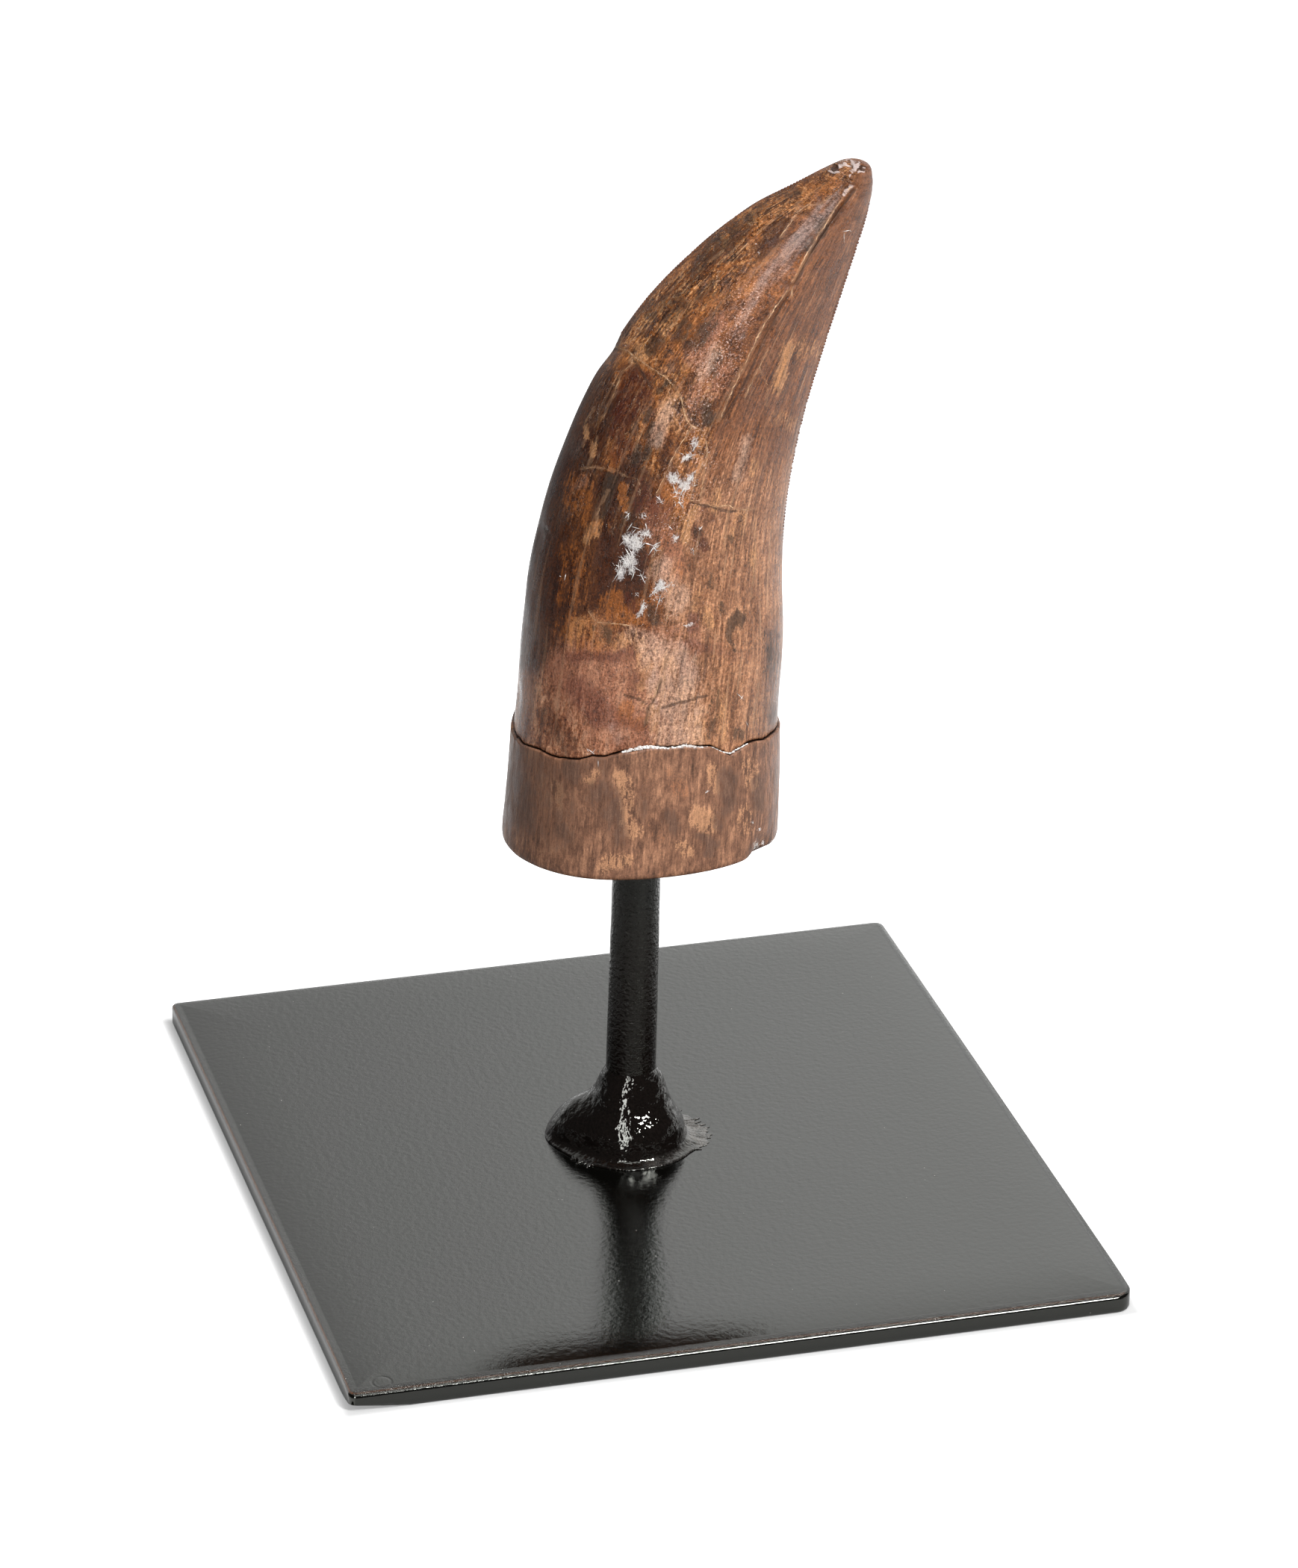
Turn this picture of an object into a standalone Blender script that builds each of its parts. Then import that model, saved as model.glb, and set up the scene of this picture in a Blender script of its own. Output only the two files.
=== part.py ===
"""Fossil tyrannosaur tooth on a small steel display stand.

The tooth is a curved crown glued along a break to a band of its root. A rod rises from a weld in
the middle of a flat plate and ends in a blind hole in the root. Lengths are in millimetres here and
become metres in Blender. +Z is up, and the origin is the middle of the plate's underside.
"""

import math

import bmesh
import bpy
import numpy as np

MM = 0.001
GAP = 0.3  # clearance between neighbouring solids

# Plate: cut from 1/8 inch steel, 4 inches wide
PLATE_WIDTH = 101.6
PLATE_DEPTH = 112.0
PLATE_THICKNESS = 3.2
PLATE_CORNER_RADII = {(-1, -1): 1.0, (1, -1): 2.2, (-1, 1): 1.0, (1, 1): 1.4}
PLATE_EDGE_BEVEL = 0.35
GROUND_CORNER = (8.0, 6.0, 1.1)  # run along X, run along Y and height of the ground-off underside

# Rod: 1/4 inch, leaning a little to the right
ROD_FOOT_RADIUS = 3.35
ROD_TOP_RADIUS = 3.05
ROD_TOP = 55.5
ROD_LEAN = math.radians(1.5)
ROD_FOOT_SHIFT = -0.55
ROD_SIDES = 40

# Weld: rows of (height, radius of the round side, radius of the lobe), from the plate up
WELD_ROWS = (
    (0.0, 8.5, 11.0),
    (0.45, 8.2, 11.1),
    (1.2, 7.4, 10.8),
    (2.9, 7.1, 10.1),
    (5.0, 6.4, 8.8),
    (6.4, 5.6, 6.6),
    (8.5, 4.5, 4.9),
    (10.2, 3.95, 4.0),
)
WELD_LOBE_ANGLE = 168.0
WELD_LOBE_SPREAD = 30.0
WELD_FLAKE_ROWS = 2  # the lowest rows, which carry the splashes
WELD_FLAKES = (  # angle, length past the skirt, half width in degrees
    (272.0, 0.7, 16.0),
    (345.0, 1.6, 5.0),
    (7.0, 2.9, 3.5),
    (25.0, 3.0, 8.0),
    (50.0, 2.6, 7.0),
    (96.0, 1.2, 9.0),
    (232.0, 0.9, 6.0),
)
WELD_SIDES = 72

# Tooth
TOOTH_TURN = math.radians(-15.0)  # about Z, from the plate's own X
ROOT_BOTTOM = 47.7
ROOT_STEP = 1.02  # the root stands this much proud of the crown
ROOT_EDGE = ((0.8, 0.0), (0.25, 0.25), (0.0, 0.8))  # inset and height of the rounded lower edge
ROOT_ROWS = 6
CROWN_ROWS = 48
BREAK_RINGS = (0.82, 0.6, 0.35, 0.14)

# Sections of the tooth from the root's underside to the tip. Each is a lens-shaped plane cut:
# mesial edge x, z; distal edge x, z; half depth; place of the ridge along the chord (-1 mesial,
# 1 distal); keenness of the mesial and of the distal edge (0.5 round, 1 sharp); distal fullness.
SECTIONS = np.array(
    (
        (-16.6, 47.7, 18.3, 47.7, 14.6, -0.18, 0.50, 0.50, 2.0),
        (-15.75, 57.0, 18.55, 57.0, 14.5, -0.15, 0.50, 0.50, 2.0),
        (-15.0, 66.0, 18.65, 66.0, 14.3, -0.12, 0.50, 0.52, 1.9),
        (-14.1, 76.5, 19.2, 75.5, 13.7, -0.05, 0.50, 0.56, 1.8),
        (-12.8, 87.0, 19.0, 84.8, 12.9, 0.02, 0.52, 0.62, 1.6),
        (-9.8, 98.6, 19.5, 94.6, 11.9, 0.08, 0.56, 0.70, 1.4),
        (-5.0, 110.4, 21.35, 105.0, 10.5, 0.14, 0.62, 0.78, 1.2),
        (1.05, 120.2, 23.8, 114.2, 8.9, 0.17, 0.68, 0.84, 1.15),
        (7.6, 127.5, 26.05, 121.8, 7.3, 0.19, 0.72, 0.86, 1.15),
        (14.3, 133.1, 27.9, 128.0, 5.5, 0.20, 0.72, 0.84, 1.2),
        (20.1, 136.4, 29.2, 132.6, 4.0, 0.19, 0.68, 0.76, 1.3),
        (23.6, 138.3, 29.75, 135.8, 2.9, 0.22, 0.60, 0.62, 1.7),
        (25.4, 139.1, 29.7, 137.7, 2.1, 0.20, 0.52, 0.54, 1.9),
        (26.6, 139.5, 29.3, 138.8, 1.25, 0.10, 0.50, 0.50, 2.0),
        (28.1, 139.5, 28.1, 139.5, 0.0, 0.0, 0.50, 0.50, 2.0),
    )
)
BACK_DEPTH = 0.96  # depth of the far side against the near side
BACK_SUMMIT = 0.1  # the far side is fullest a little distal of the middle
GROOVE = (0.26, 0.05, 0.04)  # depth, place distal of the ridge and half width along the chord
GROOVE_SPAN = (5.6, 10.8)  # sections between which the groove runs

# The break between crown and root: angle round the section and height
BREAK = (
    (0, 63.5), (12, 63.4), (22, 63.5), (33, 64.1), (38, 64.2), (48, 63.6), (57, 65.2),
    (68, 66.0), (75, 65.9), (83, 66.3), (94, 65.6), (106, 64.7), (121, 63.8), (142, 63.5),
    (165, 62.9), (180, 63.4), (200, 64.3), (222, 63.6), (248, 64.9), (270, 64.2), (292, 65.1),
    (318, 64.3), (340, 63.1), (360, 63.5),
)

# Damage on the crown: section, angle, radius and depth
CROWN_DENTS = (
    (12.35, 128.0, 0.9, 0.40),  # pits on the worn tip
    (12.6, 60.0, 0.8, 0.35),
    (6.35, 178.0, 2.2, 0.45),  # spall at the mesial edge, below the crack
    (4.3, 170.0, 1.8, 0.30),
    (2.2, 172.0, 2.0, 0.30),
)
ROOT_CHIPS = ((26.0, 1.9, 0.9), (305.0, 2.2, 0.7))  # angle, radius and depth, on the lower rim


def clear_scene():
    """Empties the scene that the script starts in."""
    for item in list(bpy.data.objects):
        bpy.data.objects.remove(item, do_unlink=True)


def new_collection(name, hidden=False):
    collection = bpy.data.collections.new(name)
    collection.hide_render = hidden
    bpy.context.scene.collection.children.link(collection)
    return collection


def new_material(name, colour, roughness, metallic=0.0):
    material = bpy.data.materials.new(name)
    material.use_nodes = True
    shader = material.node_tree.nodes["Principled BSDF"]
    shader.inputs["Base Color"].default_value = (*colour, 1.0)
    shader.inputs["Roughness"].default_value = roughness
    shader.inputs["Metallic"].default_value = metallic
    material.diffuse_color = (*colour, 1.0)
    return material


def new_object(name, mesh, collection, material=None, smooth=35.0):
    item = bpy.data.objects.new(name, mesh)
    collection.objects.link(item)
    if material:
        mesh.materials.append(material)
        mesh.shade_smooth()
        mesh.set_sharp_from_angle(angle=math.radians(smooth))
    return item


def new_cutter(name, mesh, collection):
    cutter = new_object(name, mesh, collection)
    cutter.hide_render = True
    cutter.display_type = "WIRE"
    return cutter


def cut(item, cutter):
    boolean = item.modifiers.new("cut_" + cutter.name, "BOOLEAN")
    boolean.operation = "DIFFERENCE"
    boolean.solver = "EXACT"
    boolean.object = cutter


def to_mesh(shape, name):
    bmesh.ops.recalc_face_normals(shape, faces=shape.faces)
    mesh = bpy.data.meshes.new(name)
    shape.to_mesh(mesh)
    shape.free()
    return mesh


def loft(name, rings, closed=False):
    """A solid through rings of points in millimetres: capped by its end rings, or closed on itself."""
    shape = bmesh.new()
    rows = [[shape.verts.new(point * MM) for point in ring] for ring in rings]
    pairs = list(zip(rows, rows[1:]))
    if closed:
        pairs.append((rows[-1], rows[0]))
    for low, high in pairs:
        for i in range(len(low)):
            j = (i + 1) % len(low)
            shape.faces.new((low[i], low[j], high[j], high[i]))
    if not closed:
        for row in (rows[0], rows[-1]):
            centre = shape.verts.new(sum((vert.co for vert in row), row[0].co * 0) / len(row))
            for i in range(len(row)):
                shape.faces.new((row[i], row[(i + 1) % len(row)], centre))
    return to_mesh(shape, name)


def smooth_table(table, place):
    """Cubic curve through the table's rows at a place counted in rows."""
    last = len(table) - 1
    place = np.clip(place, 0, last)
    start = np.minimum(place.astype(int), last - 1)
    t = (place - start)[..., None]
    before, here = table[np.maximum(start - 1, 0)], table[start]
    after, beyond = table[start + 1], table[np.minimum(start + 2, last)]
    leave, arrive = (after - before) / 2, (beyond - here) / 2
    step = (2 * t**3 - 3 * t**2 + 1) * here + (3 * t**2 - 2 * t**3) * after
    return step + (t**3 - 2 * t**2 + t) * leave + (t**3 - t**2) * arrive


def tooth_surface(place, angle, swell=1.0):
    """Points of the tooth's skin, in the tooth's own frame.

    The place is counted in sections. The angle is 0 at the distal edge, 90 on the near side's
    ridge, 180 at the mesial edge and 270 on the far side.
    """
    place, angle = np.broadcast_arrays(np.asarray(place, float), np.radians(angle))
    values = np.moveaxis(smooth_table(SECTIONS, place), -1, 0)
    mesial_x, mesial_z, distal_x, distal_z, depth, ridge, mesial_keen, distal_keen, full = values
    near, distal = np.sin(angle) >= 0, np.cos(angle) >= 0
    ridge = np.where(near, ridge, BACK_SUMMIT)
    reach = np.abs(np.cos(angle))
    chord = np.where(distal, ridge + reach * (1 - ridge), ridge - reach * (1 + ridge))
    power = np.where(distal & near, full, 2.0)
    bulge = np.clip(1 - reach**power, 0, 1) ** np.where(distal, distal_keen, mesial_keen)
    y = np.where(near, -depth, BACK_DEPTH * depth) * bulge
    groove_depth, groove_place, groove_width = GROOVE
    in_span = (place > GROOVE_SPAN[0]) & (place < GROOVE_SPAN[1]) & near
    groove = np.exp(-(((chord - ridge - groove_place) / groove_width) ** 2))
    y = y + np.where(in_span, groove_depth * groove, 0.0)
    middle_x, middle_z = (mesial_x + distal_x) / 2, (mesial_z + distal_z) / 2
    x = middle_x + swell * chord * (distal_x - mesial_x) / 2
    z = middle_z + chord * (distal_z - mesial_z) / 2
    return np.stack((x, swell * y, z), -1)


def tooth_axis(place):
    """Middle of the section, for each place counted in sections."""
    values = smooth_table(SECTIONS, np.asarray(place, float))
    x, z = (values[..., 0] + values[..., 2]) / 2, (values[..., 1] + values[..., 3]) / 2
    return np.stack((x, np.zeros_like(x), z), -1)


def to_row(points):
    """Turns the tooth's frame into the plate's."""
    turned = points.copy()
    cos, sin = math.cos(TOOTH_TURN), math.sin(TOOTH_TURN)
    turned[..., 0] = cos * points[..., 0] - sin * points[..., 1]
    turned[..., 1] = sin * points[..., 0] + cos * points[..., 1]
    return turned


def tooth_angles():
    """Columns round the tooth, closer together at the ridge and its groove."""
    return np.concatenate(
        (np.arange(0, 80, 8), (81, 84, 86.5, 90), np.arange(97, 180, 8), np.arange(180, 355, 12))
    ).astype(float)


def break_height(angle):
    angles, heights = np.array(BREAK, float).T
    return np.interp(angle, angles, heights)


def place_at_height(height, angle):
    """The place where the skin reaches a height near the break, one for each angle."""
    places = np.linspace(0, 4, 81)
    heights = tooth_surface(places[:, None], angle[None, :])[..., 2]
    columns = [np.interp(h, heights[:, i], places) for i, h in enumerate(height)]
    return np.array(columns)


def dent(points, centre, axis, radius, depth):
    """Presses a round hollow into the skin, towards the tooth's axis."""
    weight = np.exp(-(np.linalg.norm(points - centre, axis=-1) / radius) ** 2)
    inward = (axis - centre) / np.linalg.norm(axis - centre)
    return points + depth * weight[..., None] * inward


def break_rings(rim, offset):
    """Rings of the broken face from its rim inwards, with its middle lower than its high points."""
    middle = rim.mean(axis=0)
    level = np.array(BREAK, float)[:, 1].mean() + offset
    rings = []
    for share in BREAK_RINGS:
        ring = middle + (rim - middle) * share
        ring[:, 2] = level + (rim[:, 2] - level) * share**2
        rings.append(ring)
    return rings


def make_crown(collection, material):
    angles = tooth_angles()
    lowest = place_at_height(break_height(angles) + GAP / 2, angles)
    share = np.linspace(0, 1, CROWN_ROWS + 1)[:-1, None]
    places = lowest[None, :] + share * (len(SECTIONS) - 1 - lowest[None, :])
    skin = tooth_surface(places, angles[None, :])
    for place, angle, radius, depth in CROWN_DENTS:
        centre = tooth_surface(place, angle)
        skin = dent(skin, centre, tooth_axis(place), radius, depth)
    rings = break_rings(skin[0], GAP / 2)[::-1] + list(skin)
    mesh = loft("tooth_crown", [to_row(ring) for ring in rings])
    return new_object("tooth_crown", mesh, collection, material, smooth=30.0)


def make_root(collection, material):
    angles = tooth_angles()
    top = break_height(angles) - GAP / 2
    rings = []
    for inset, height in ROOT_EDGE:
        place = place_at_height(np.full(len(angles), ROOT_BOTTOM + height), angles)
        ring = tooth_surface(place, angles, ROOT_STEP)
        axis = tooth_axis(place)
        outward = (ring - axis) / np.linalg.norm(ring - axis, axis=-1, keepdims=True)
        rings.append(ring - inset * outward)
    start = ROOT_BOTTOM + ROOT_EDGE[-1][1]
    for share in np.linspace(0, 1, ROOT_ROWS)[1:]:
        place = place_at_height(start + share * (top - start), angles)
        rings.append(tooth_surface(place, angles, ROOT_STEP))
    skin = np.array(rings)
    for angle, radius, depth in ROOT_CHIPS:
        centre = tooth_surface(0.0, angle, ROOT_STEP)
        skin[:-1] = dent(skin[:-1], centre, tooth_axis(1.0), radius, depth)
    skin[0, :, 2] = ROOT_BOTTOM
    rings = list(skin) + break_rings(skin[-1], -GAP / 2)
    mesh = loft("tooth_root", [to_row(ring) for ring in rings])
    return new_object("tooth_root", mesh, collection, material, smooth=30.0)


def rod_axis(height):
    """The rod's axis at a height above the plate, in the plate's frame."""
    point = np.array((ROD_FOOT_SHIFT + height * math.tan(ROD_LEAN), 0.0, PLATE_THICKNESS + height))
    return to_row(point)


def rod_radius(height):
    share = height / (ROD_TOP - PLATE_THICKNESS)
    return ROD_FOOT_RADIUS + share * (ROD_TOP_RADIUS - ROD_FOOT_RADIUS)


def circle(centre, radius, count):
    turn = np.linspace(0, 2 * math.pi, count, endpoint=False)
    return centre + np.stack((radius * np.cos(turn), radius * np.sin(turn), 0 * turn), -1)


def make_rod(collection, material):
    height = ROD_TOP - PLATE_THICKNESS
    rings = [circle(rod_axis(h), rod_radius(h), ROD_SIDES) for h in (GAP, height)]
    return new_object("post", loft("post", rings), collection, material)


def make_socket(collection):
    bottom, top = ROOT_BOTTOM - 2 - PLATE_THICKNESS, ROD_TOP + GAP - PLATE_THICKNESS
    rings = [circle(rod_axis(h), rod_radius(h) + GAP, ROD_SIDES) for h in (bottom, top)]
    return new_cutter("socket", loft("socket", rings), collection)


def angle_between(first, second):
    return np.abs((first - second + 180) % 360 - 180)


def make_weld(collection, material):
    """Lumpy fillet round the rod's foot, with one long lobe and thin splashes on the plate."""
    angles = np.linspace(0, 360, WELD_SIDES, endpoint=False)
    turn = np.radians(angles)
    lobe = np.exp(-((angle_between(angles, WELD_LOBE_ANGLE) / WELD_LOBE_SPREAD) ** 2))
    lumps = 0.16 * np.sin(5 * turn + 0.7) + 0.11 * np.sin(9 * turn + 2.1)
    splash = np.zeros(WELD_SIDES)
    for angle, length, half_width in WELD_FLAKES:
        away = angle_between(angles, angle) / half_width
        splash = np.maximum(splash, length * np.clip(1 - away, 0, 1))
    rings = []
    for row, (height, round_radius, lobe_radius) in enumerate(WELD_ROWS):
        height = height + GAP
        lumpy = min(1.0, (WELD_ROWS[-1][0] - height) / 3)
        radius = round_radius + (lobe_radius - round_radius) * lobe + lumps * max(lumpy, 0)
        if row < WELD_FLAKE_ROWS:
            radius = radius + splash
        flat = np.stack((radius * np.cos(turn), radius * np.sin(turn), 0 * turn), -1)
        rings.append(rod_axis(height) + to_row(flat))
    for height in (WELD_ROWS[-1][0] + GAP, GAP):
        bore = rod_radius(height) + GAP
        flat = np.stack((bore * np.cos(turn), bore * np.sin(turn), 0 * turn), -1)
        rings.append(rod_axis(height) + to_row(flat))
    mesh = loft("weld_collar", rings, closed=True)
    return new_object("weld_collar", mesh, collection, material)


def make_plate(collection, cutters, material):
    """Flat plate with its own radius at each corner, softened edges and one ground-off corner."""
    shape = bmesh.new()
    bmesh.ops.create_cube(shape, size=1.0)
    size = np.array((PLATE_WIDTH, PLATE_DEPTH, PLATE_THICKNESS)) * MM
    bmesh.ops.scale(shape, vec=size, verts=shape.verts)
    bmesh.ops.translate(shape, vec=(0, 0, size[2] / 2), verts=shape.verts)
    for (side_x, side_y), radius in PLATE_CORNER_RADII.items():
        upright = [
            edge
            for edge in shape.edges
            if all(v.co.x * side_x > 0.45 * size[0] and v.co.y * side_y > 0.45 * size[1]
                   for v in edge.verts)
            and abs(edge.verts[0].co.z - edge.verts[1].co.z) > size[2] / 2
        ]
        bmesh.ops.bevel(
            shape, geom=upright, offset=radius * MM, segments=4, profile=0.5, affect="EDGES"
        )
    bmesh.ops.recalc_face_normals(shape, faces=shape.faces)
    level = [e for e in shape.edges if abs(e.verts[0].co.z - e.verts[1].co.z) < 1e-6]
    bmesh.ops.bevel(
        shape, geom=level, offset=PLATE_EDGE_BEVEL * MM, segments=2, profile=0.5, affect="EDGES"
    )
    plate = new_object("base_plate", to_mesh(shape, "base_plate"), collection, material)
    cut(plate, make_grinder(cutters))
    return plate


def make_grinder(collection):
    """Wedge below the front left corner, deepest at the corner."""
    run_x, run_y, height = GROUND_CORNER
    corner_x, corner_y = -PLATE_WIDTH / 2, -PLATE_DEPTH / 2
    over = 2.0
    shape = bmesh.new()
    points = (
        (corner_x - over, corner_y - over, height * (1 + over / run_y + over / run_x)),
        (corner_x - over, corner_y + run_y * (1 + over / run_x), 0.0),
        (corner_x + run_x * (1 + over / run_y), corner_y - over, 0.0),
    )
    top = [shape.verts.new((x * MM, y * MM, z * MM)) for x, y, z in points]
    low = [shape.verts.new((x * MM, y * MM, -over * MM)) for x, y, z in points]
    shape.faces.new(top)
    shape.faces.new(low[::-1])
    for i in range(3):
        j = (i + 1) % 3
        shape.faces.new((top[i], low[i], low[j], top[j]))
    return new_cutter("ground_corner", to_mesh(shape, "ground_corner"), collection)


def main():
    clear_scene()
    solids = new_collection("fossil_tooth_on_stand")
    cutters = new_collection("cutters", hidden=True)
    plate_paint = new_material("black_paint", (0.012, 0.012, 0.013), 0.25)
    rod_paint = new_material("rod_paint", (0.010, 0.009, 0.010), 0.32)
    weld_paint = new_material("weld_paint", (0.008, 0.007, 0.007), 0.12)
    root_stone = new_material("root_fossil", (0.165, 0.085, 0.050), 0.62)
    crown_enamel = new_material("crown_enamel", (0.185, 0.080, 0.038), 0.38)

    make_plate(solids, cutters, plate_paint)
    make_rod(solids, rod_paint)
    make_weld(solids, weld_paint)
    cut(make_root(solids, root_stone), make_socket(cutters))
    make_crown(solids, crown_enamel)


main()
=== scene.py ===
"""Looks of the fossil tyrannosaur tooth and its stand.

Lengths are in millimetres here and become metres in Blender. The tooth's own frame has x to the
camera's right, y away from it and z up, and to_plate turns it into the plate's frame. Marks that only
the photograph places are named pixels of its 1738 x 2100 frame. Painted strokes and
relief are looked up at the pixel where each point of the skin shows, and lines, slivers and glue are
put on the skin by a ray from the camera.
"""
import itertools
import math
from types import SimpleNamespace

import bpy
import numpy as np
from mathutils import Matrix, Vector
from mathutils.bvhtree import BVHTree


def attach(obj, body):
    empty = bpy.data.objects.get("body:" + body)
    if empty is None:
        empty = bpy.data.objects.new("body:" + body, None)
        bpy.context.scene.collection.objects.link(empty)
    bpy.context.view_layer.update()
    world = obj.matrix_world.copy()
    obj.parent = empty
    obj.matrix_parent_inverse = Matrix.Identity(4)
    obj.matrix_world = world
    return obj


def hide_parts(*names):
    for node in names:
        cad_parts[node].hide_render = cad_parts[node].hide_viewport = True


MM = 0.001

# Photograph and camera
PHOTO_WIDTH, PHOTO_HEIGHT = 1738, 2100
FOCAL_PIXELS = 9353.0
SENSOR = 36.0
CAMERA_TURN = math.radians(14.87)
CAMERA_ELEVATION = math.radians(24.49)
CAMERA_DISTANCE = 920.0
CAMERA_AIM = (-2.1, -46.8)  # sideways and upward offset of the plate's middle from the picture's
CAMERA_CLIP = (0.01, 20.0)
PIXEL_MM = 0.098  # width of a pixel at the object

# Plate
PLATE_WIDTH, PLATE_DEPTH, PLATE_THICKNESS = 101.6, 112.0, 3.2
PLATE_CORNER_RADII = ((1, 1, 1.4), (-1, 1, 1.0), (-1, -1, 1.0), (1, -1, 2.2))  # side in x, side in y
GROUND_CORNER = (8.0, 6.0, 1.1)  # reach in x and in y, height
PLATE_RINGS = (  # inset and height: underside, wall, softened edge, then the rolled-over top
    (3.0, 0.0), (0.5, 0.0), (0.12, 0.08), (0.0, 0.35), (0.0, 1.0), (0.0, 1.8), (0.0, 2.45),
    (0.05, 2.72), (0.18, 2.88), (0.38, 2.96), (0.7, 3.01), (1.2, 3.045), (2.0, 3.08),
    (3.2, 3.12), (4.8, 3.155), (6.5, 3.18), (8.5, 3.195), (11.0, 3.2), (15.0, 3.2), (24.0, 3.2),
    (36.0, 3.2), (48.0, 3.2),
)
FIRST_RIM_RING, RIM_STRENGTHS, WORN_RING = 7, (0.5, 1.0, 1.0, 0.5), 8
ROLL_OVER, ROLL_REACH, ROLL_POWER = 0.30, 11.0, 2.4  # droop of the front edge, from the shears
PLATE_WAVE, PLATE_NICKS = (0.01, 9.0), (0.05, 1.1)  # height and size
RING_DENT = ((511, 1848), 1.25)  # pixel of the ring mark's middle, and its radius

# Rod
ROD_FOOT_RADIUS, ROD_TOP_RADIUS, ROD_TOP = 3.35, 3.05, 55.5
ROD_LEAN = math.radians(1.5)
ROD_FOOT_SHIFT = -0.55
ROD_UNEVEN = (0.03, 3.0)  # height and size

# Weld
WELD_PROFILE = np.array((  # height, radius of the round side, radius of the lobe
    (-0.15, 8.6, 10.9), (0.0, 8.9, 11.2), (0.22, 8.85, 11.25), (0.4, 8.3, 11.2),
    (0.75, 7.75, 11.1), (1.6, 7.5, 10.8), (2.9, 7.2, 10.0), (4.2, 6.6, 8.9), (5.2, 6.0, 7.6),
    (6.3, 5.3, 6.0), (7.4, 4.8, 5.0), (8.6, 4.35, 4.4), (9.6, 3.95, 3.95), (10.3, 3.6, 3.6),
    (10.8, 3.34, 3.36), (11.2, 3.2, 3.2),
))
WELD_LOBE = (168.0, 30.0)  # middle and spread in degrees
WELD_LUMPS, WELD_SMALL_LUMPS, WELD_GRAIN = 0.30, 0.06, 0.012
WELD_FLAKES = (  # angle, length, half width in degrees
    (272.0, 0.2, 16.0), (343.0, 1.3, 3.0), (351.0, 1.1, 2.0), (2.0, 1.9, 2.2), (7.0, 3.0, 1.5),
    (12.0, 1.8, 3.5), (18.0, 2.3, 1.2), (23.0, 2.7, 1.8), (28.0, 1.9, 1.5), (33.0, 2.8, 2.0),
    (41.0, 1.7, 3.0), (50.0, 2.0, 2.0), (58.0, 1.0, 4.0), (96.0, 1.0, 6.0),
    (236.0, 1.0, 3.0), (231.0, 0.6, 2.0), (226.0, 1.1, 2.5), (218.0, 0.7, 3.0), (140.0, 0.5, 5.0),
)
WELD_FILM_AND_SHEEN = (  # middle and half span in degrees, extra radius, and tone of thin grey paint whose grey is partly a painted sheen
    (18.0, 46.0, 1.3, 0.9), (318.0, 40.0, 0.0, 0.3),
)

# Tooth, as in the solids
TOOTH_TURN = math.radians(-15.0)
ROOT_BOTTOM = 47.7
ROOT_STEP = 1.02  # how much wider the root is than the crown
SECTION_RUN = 9.2  # length along the tooth from one section to the next, for patterns
SECTIONS = np.array((
    # mesial x and z, distal x and z, half depth, place of the near ridge,
    # keenness of the mesial and of the distal edge, fullness behind the ridge
    (-16.6, 47.7, 18.3, 47.7, 14.6, -0.18, 0.50, 0.50, 2.0),
    (-15.75, 57.0, 18.55, 57.0, 14.5, -0.15, 0.50, 0.50, 2.0),
    (-15.0, 66.0, 18.65, 66.0, 14.3, -0.12, 0.50, 0.52, 1.9),
    (-14.1, 76.5, 19.2, 75.5, 13.7, -0.05, 0.50, 0.56, 1.8),
    (-12.8, 87.0, 19.0, 84.8, 12.9, 0.02, 0.52, 0.62, 1.6),
    (-9.8, 98.6, 19.5, 94.6, 11.9, 0.08, 0.56, 0.70, 1.4),
    (-5.0, 110.4, 21.35, 105.0, 10.5, 0.14, 0.62, 0.78, 1.2),
    (1.05, 120.2, 23.8, 114.2, 8.9, 0.17, 0.68, 0.84, 1.15),
    (7.6, 127.5, 26.05, 121.8, 7.3, 0.19, 0.72, 0.86, 1.15),
    (14.3, 133.1, 27.9, 128.0, 5.5, 0.20, 0.72, 0.84, 1.2),
    (20.1, 136.4, 29.2, 132.6, 4.0, 0.19, 0.68, 0.76, 1.3),
    (23.6, 138.3, 29.75, 135.8, 2.9, 0.22, 0.60, 0.62, 1.7),
    (25.4, 139.1, 29.7, 137.7, 2.1, 0.20, 0.52, 0.54, 1.9),
    (26.6, 139.5, 29.3, 138.8, 1.25, 0.10, 0.50, 0.50, 2.0),
    (28.1, 139.5, 28.1, 139.5, 0.0, 0.0, 0.50, 0.50, 2.0),
))
LAST_SECTION = len(SECTIONS) - 1
BACK_DEPTH, BACK_SUMMIT = 0.96, 0.1
GROOVE = (0.26, 0.05, 0.04)  # depth, place past the ridge and width as shares of half the section
GROOVE_SPAN = (5.6, 10.8)  # first and last section
SEAM = 0.14
BREAK = (  # angle round the tooth and height of the break
    (0, 63.5), (12, 63.4), (22, 63.5), (33, 64.1), (38, 64.2), (48, 63.6), (57, 65.2),
    (68, 66.0), (75, 65.9), (83, 66.3), (94, 65.6), (106, 64.7), (121, 63.8), (142, 63.5),
    (165, 62.9), (180, 63.4), (200, 64.3), (222, 63.6), (248, 64.9), (270, 64.2), (292, 65.1),
    (318, 64.3), (340, 63.1), (360, 63.5),
)
BREAK_RADIUS, BREAK_RAGGED = 15.0, 0.28
BREAK_EDGE = 0.12  # how far the skin is drawn in at the break
BREAK_RINGS = ((0.35, 0.03), (1.2, 0.12), (4.5, 0.5))  # inset and depth of the rings inside it
ROOT_RIM = ((0.8, 0.0), (0.5, 0.06), (0.25, 0.2), (0.08, 0.45), (0.0, 0.8))  # inset and height
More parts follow.
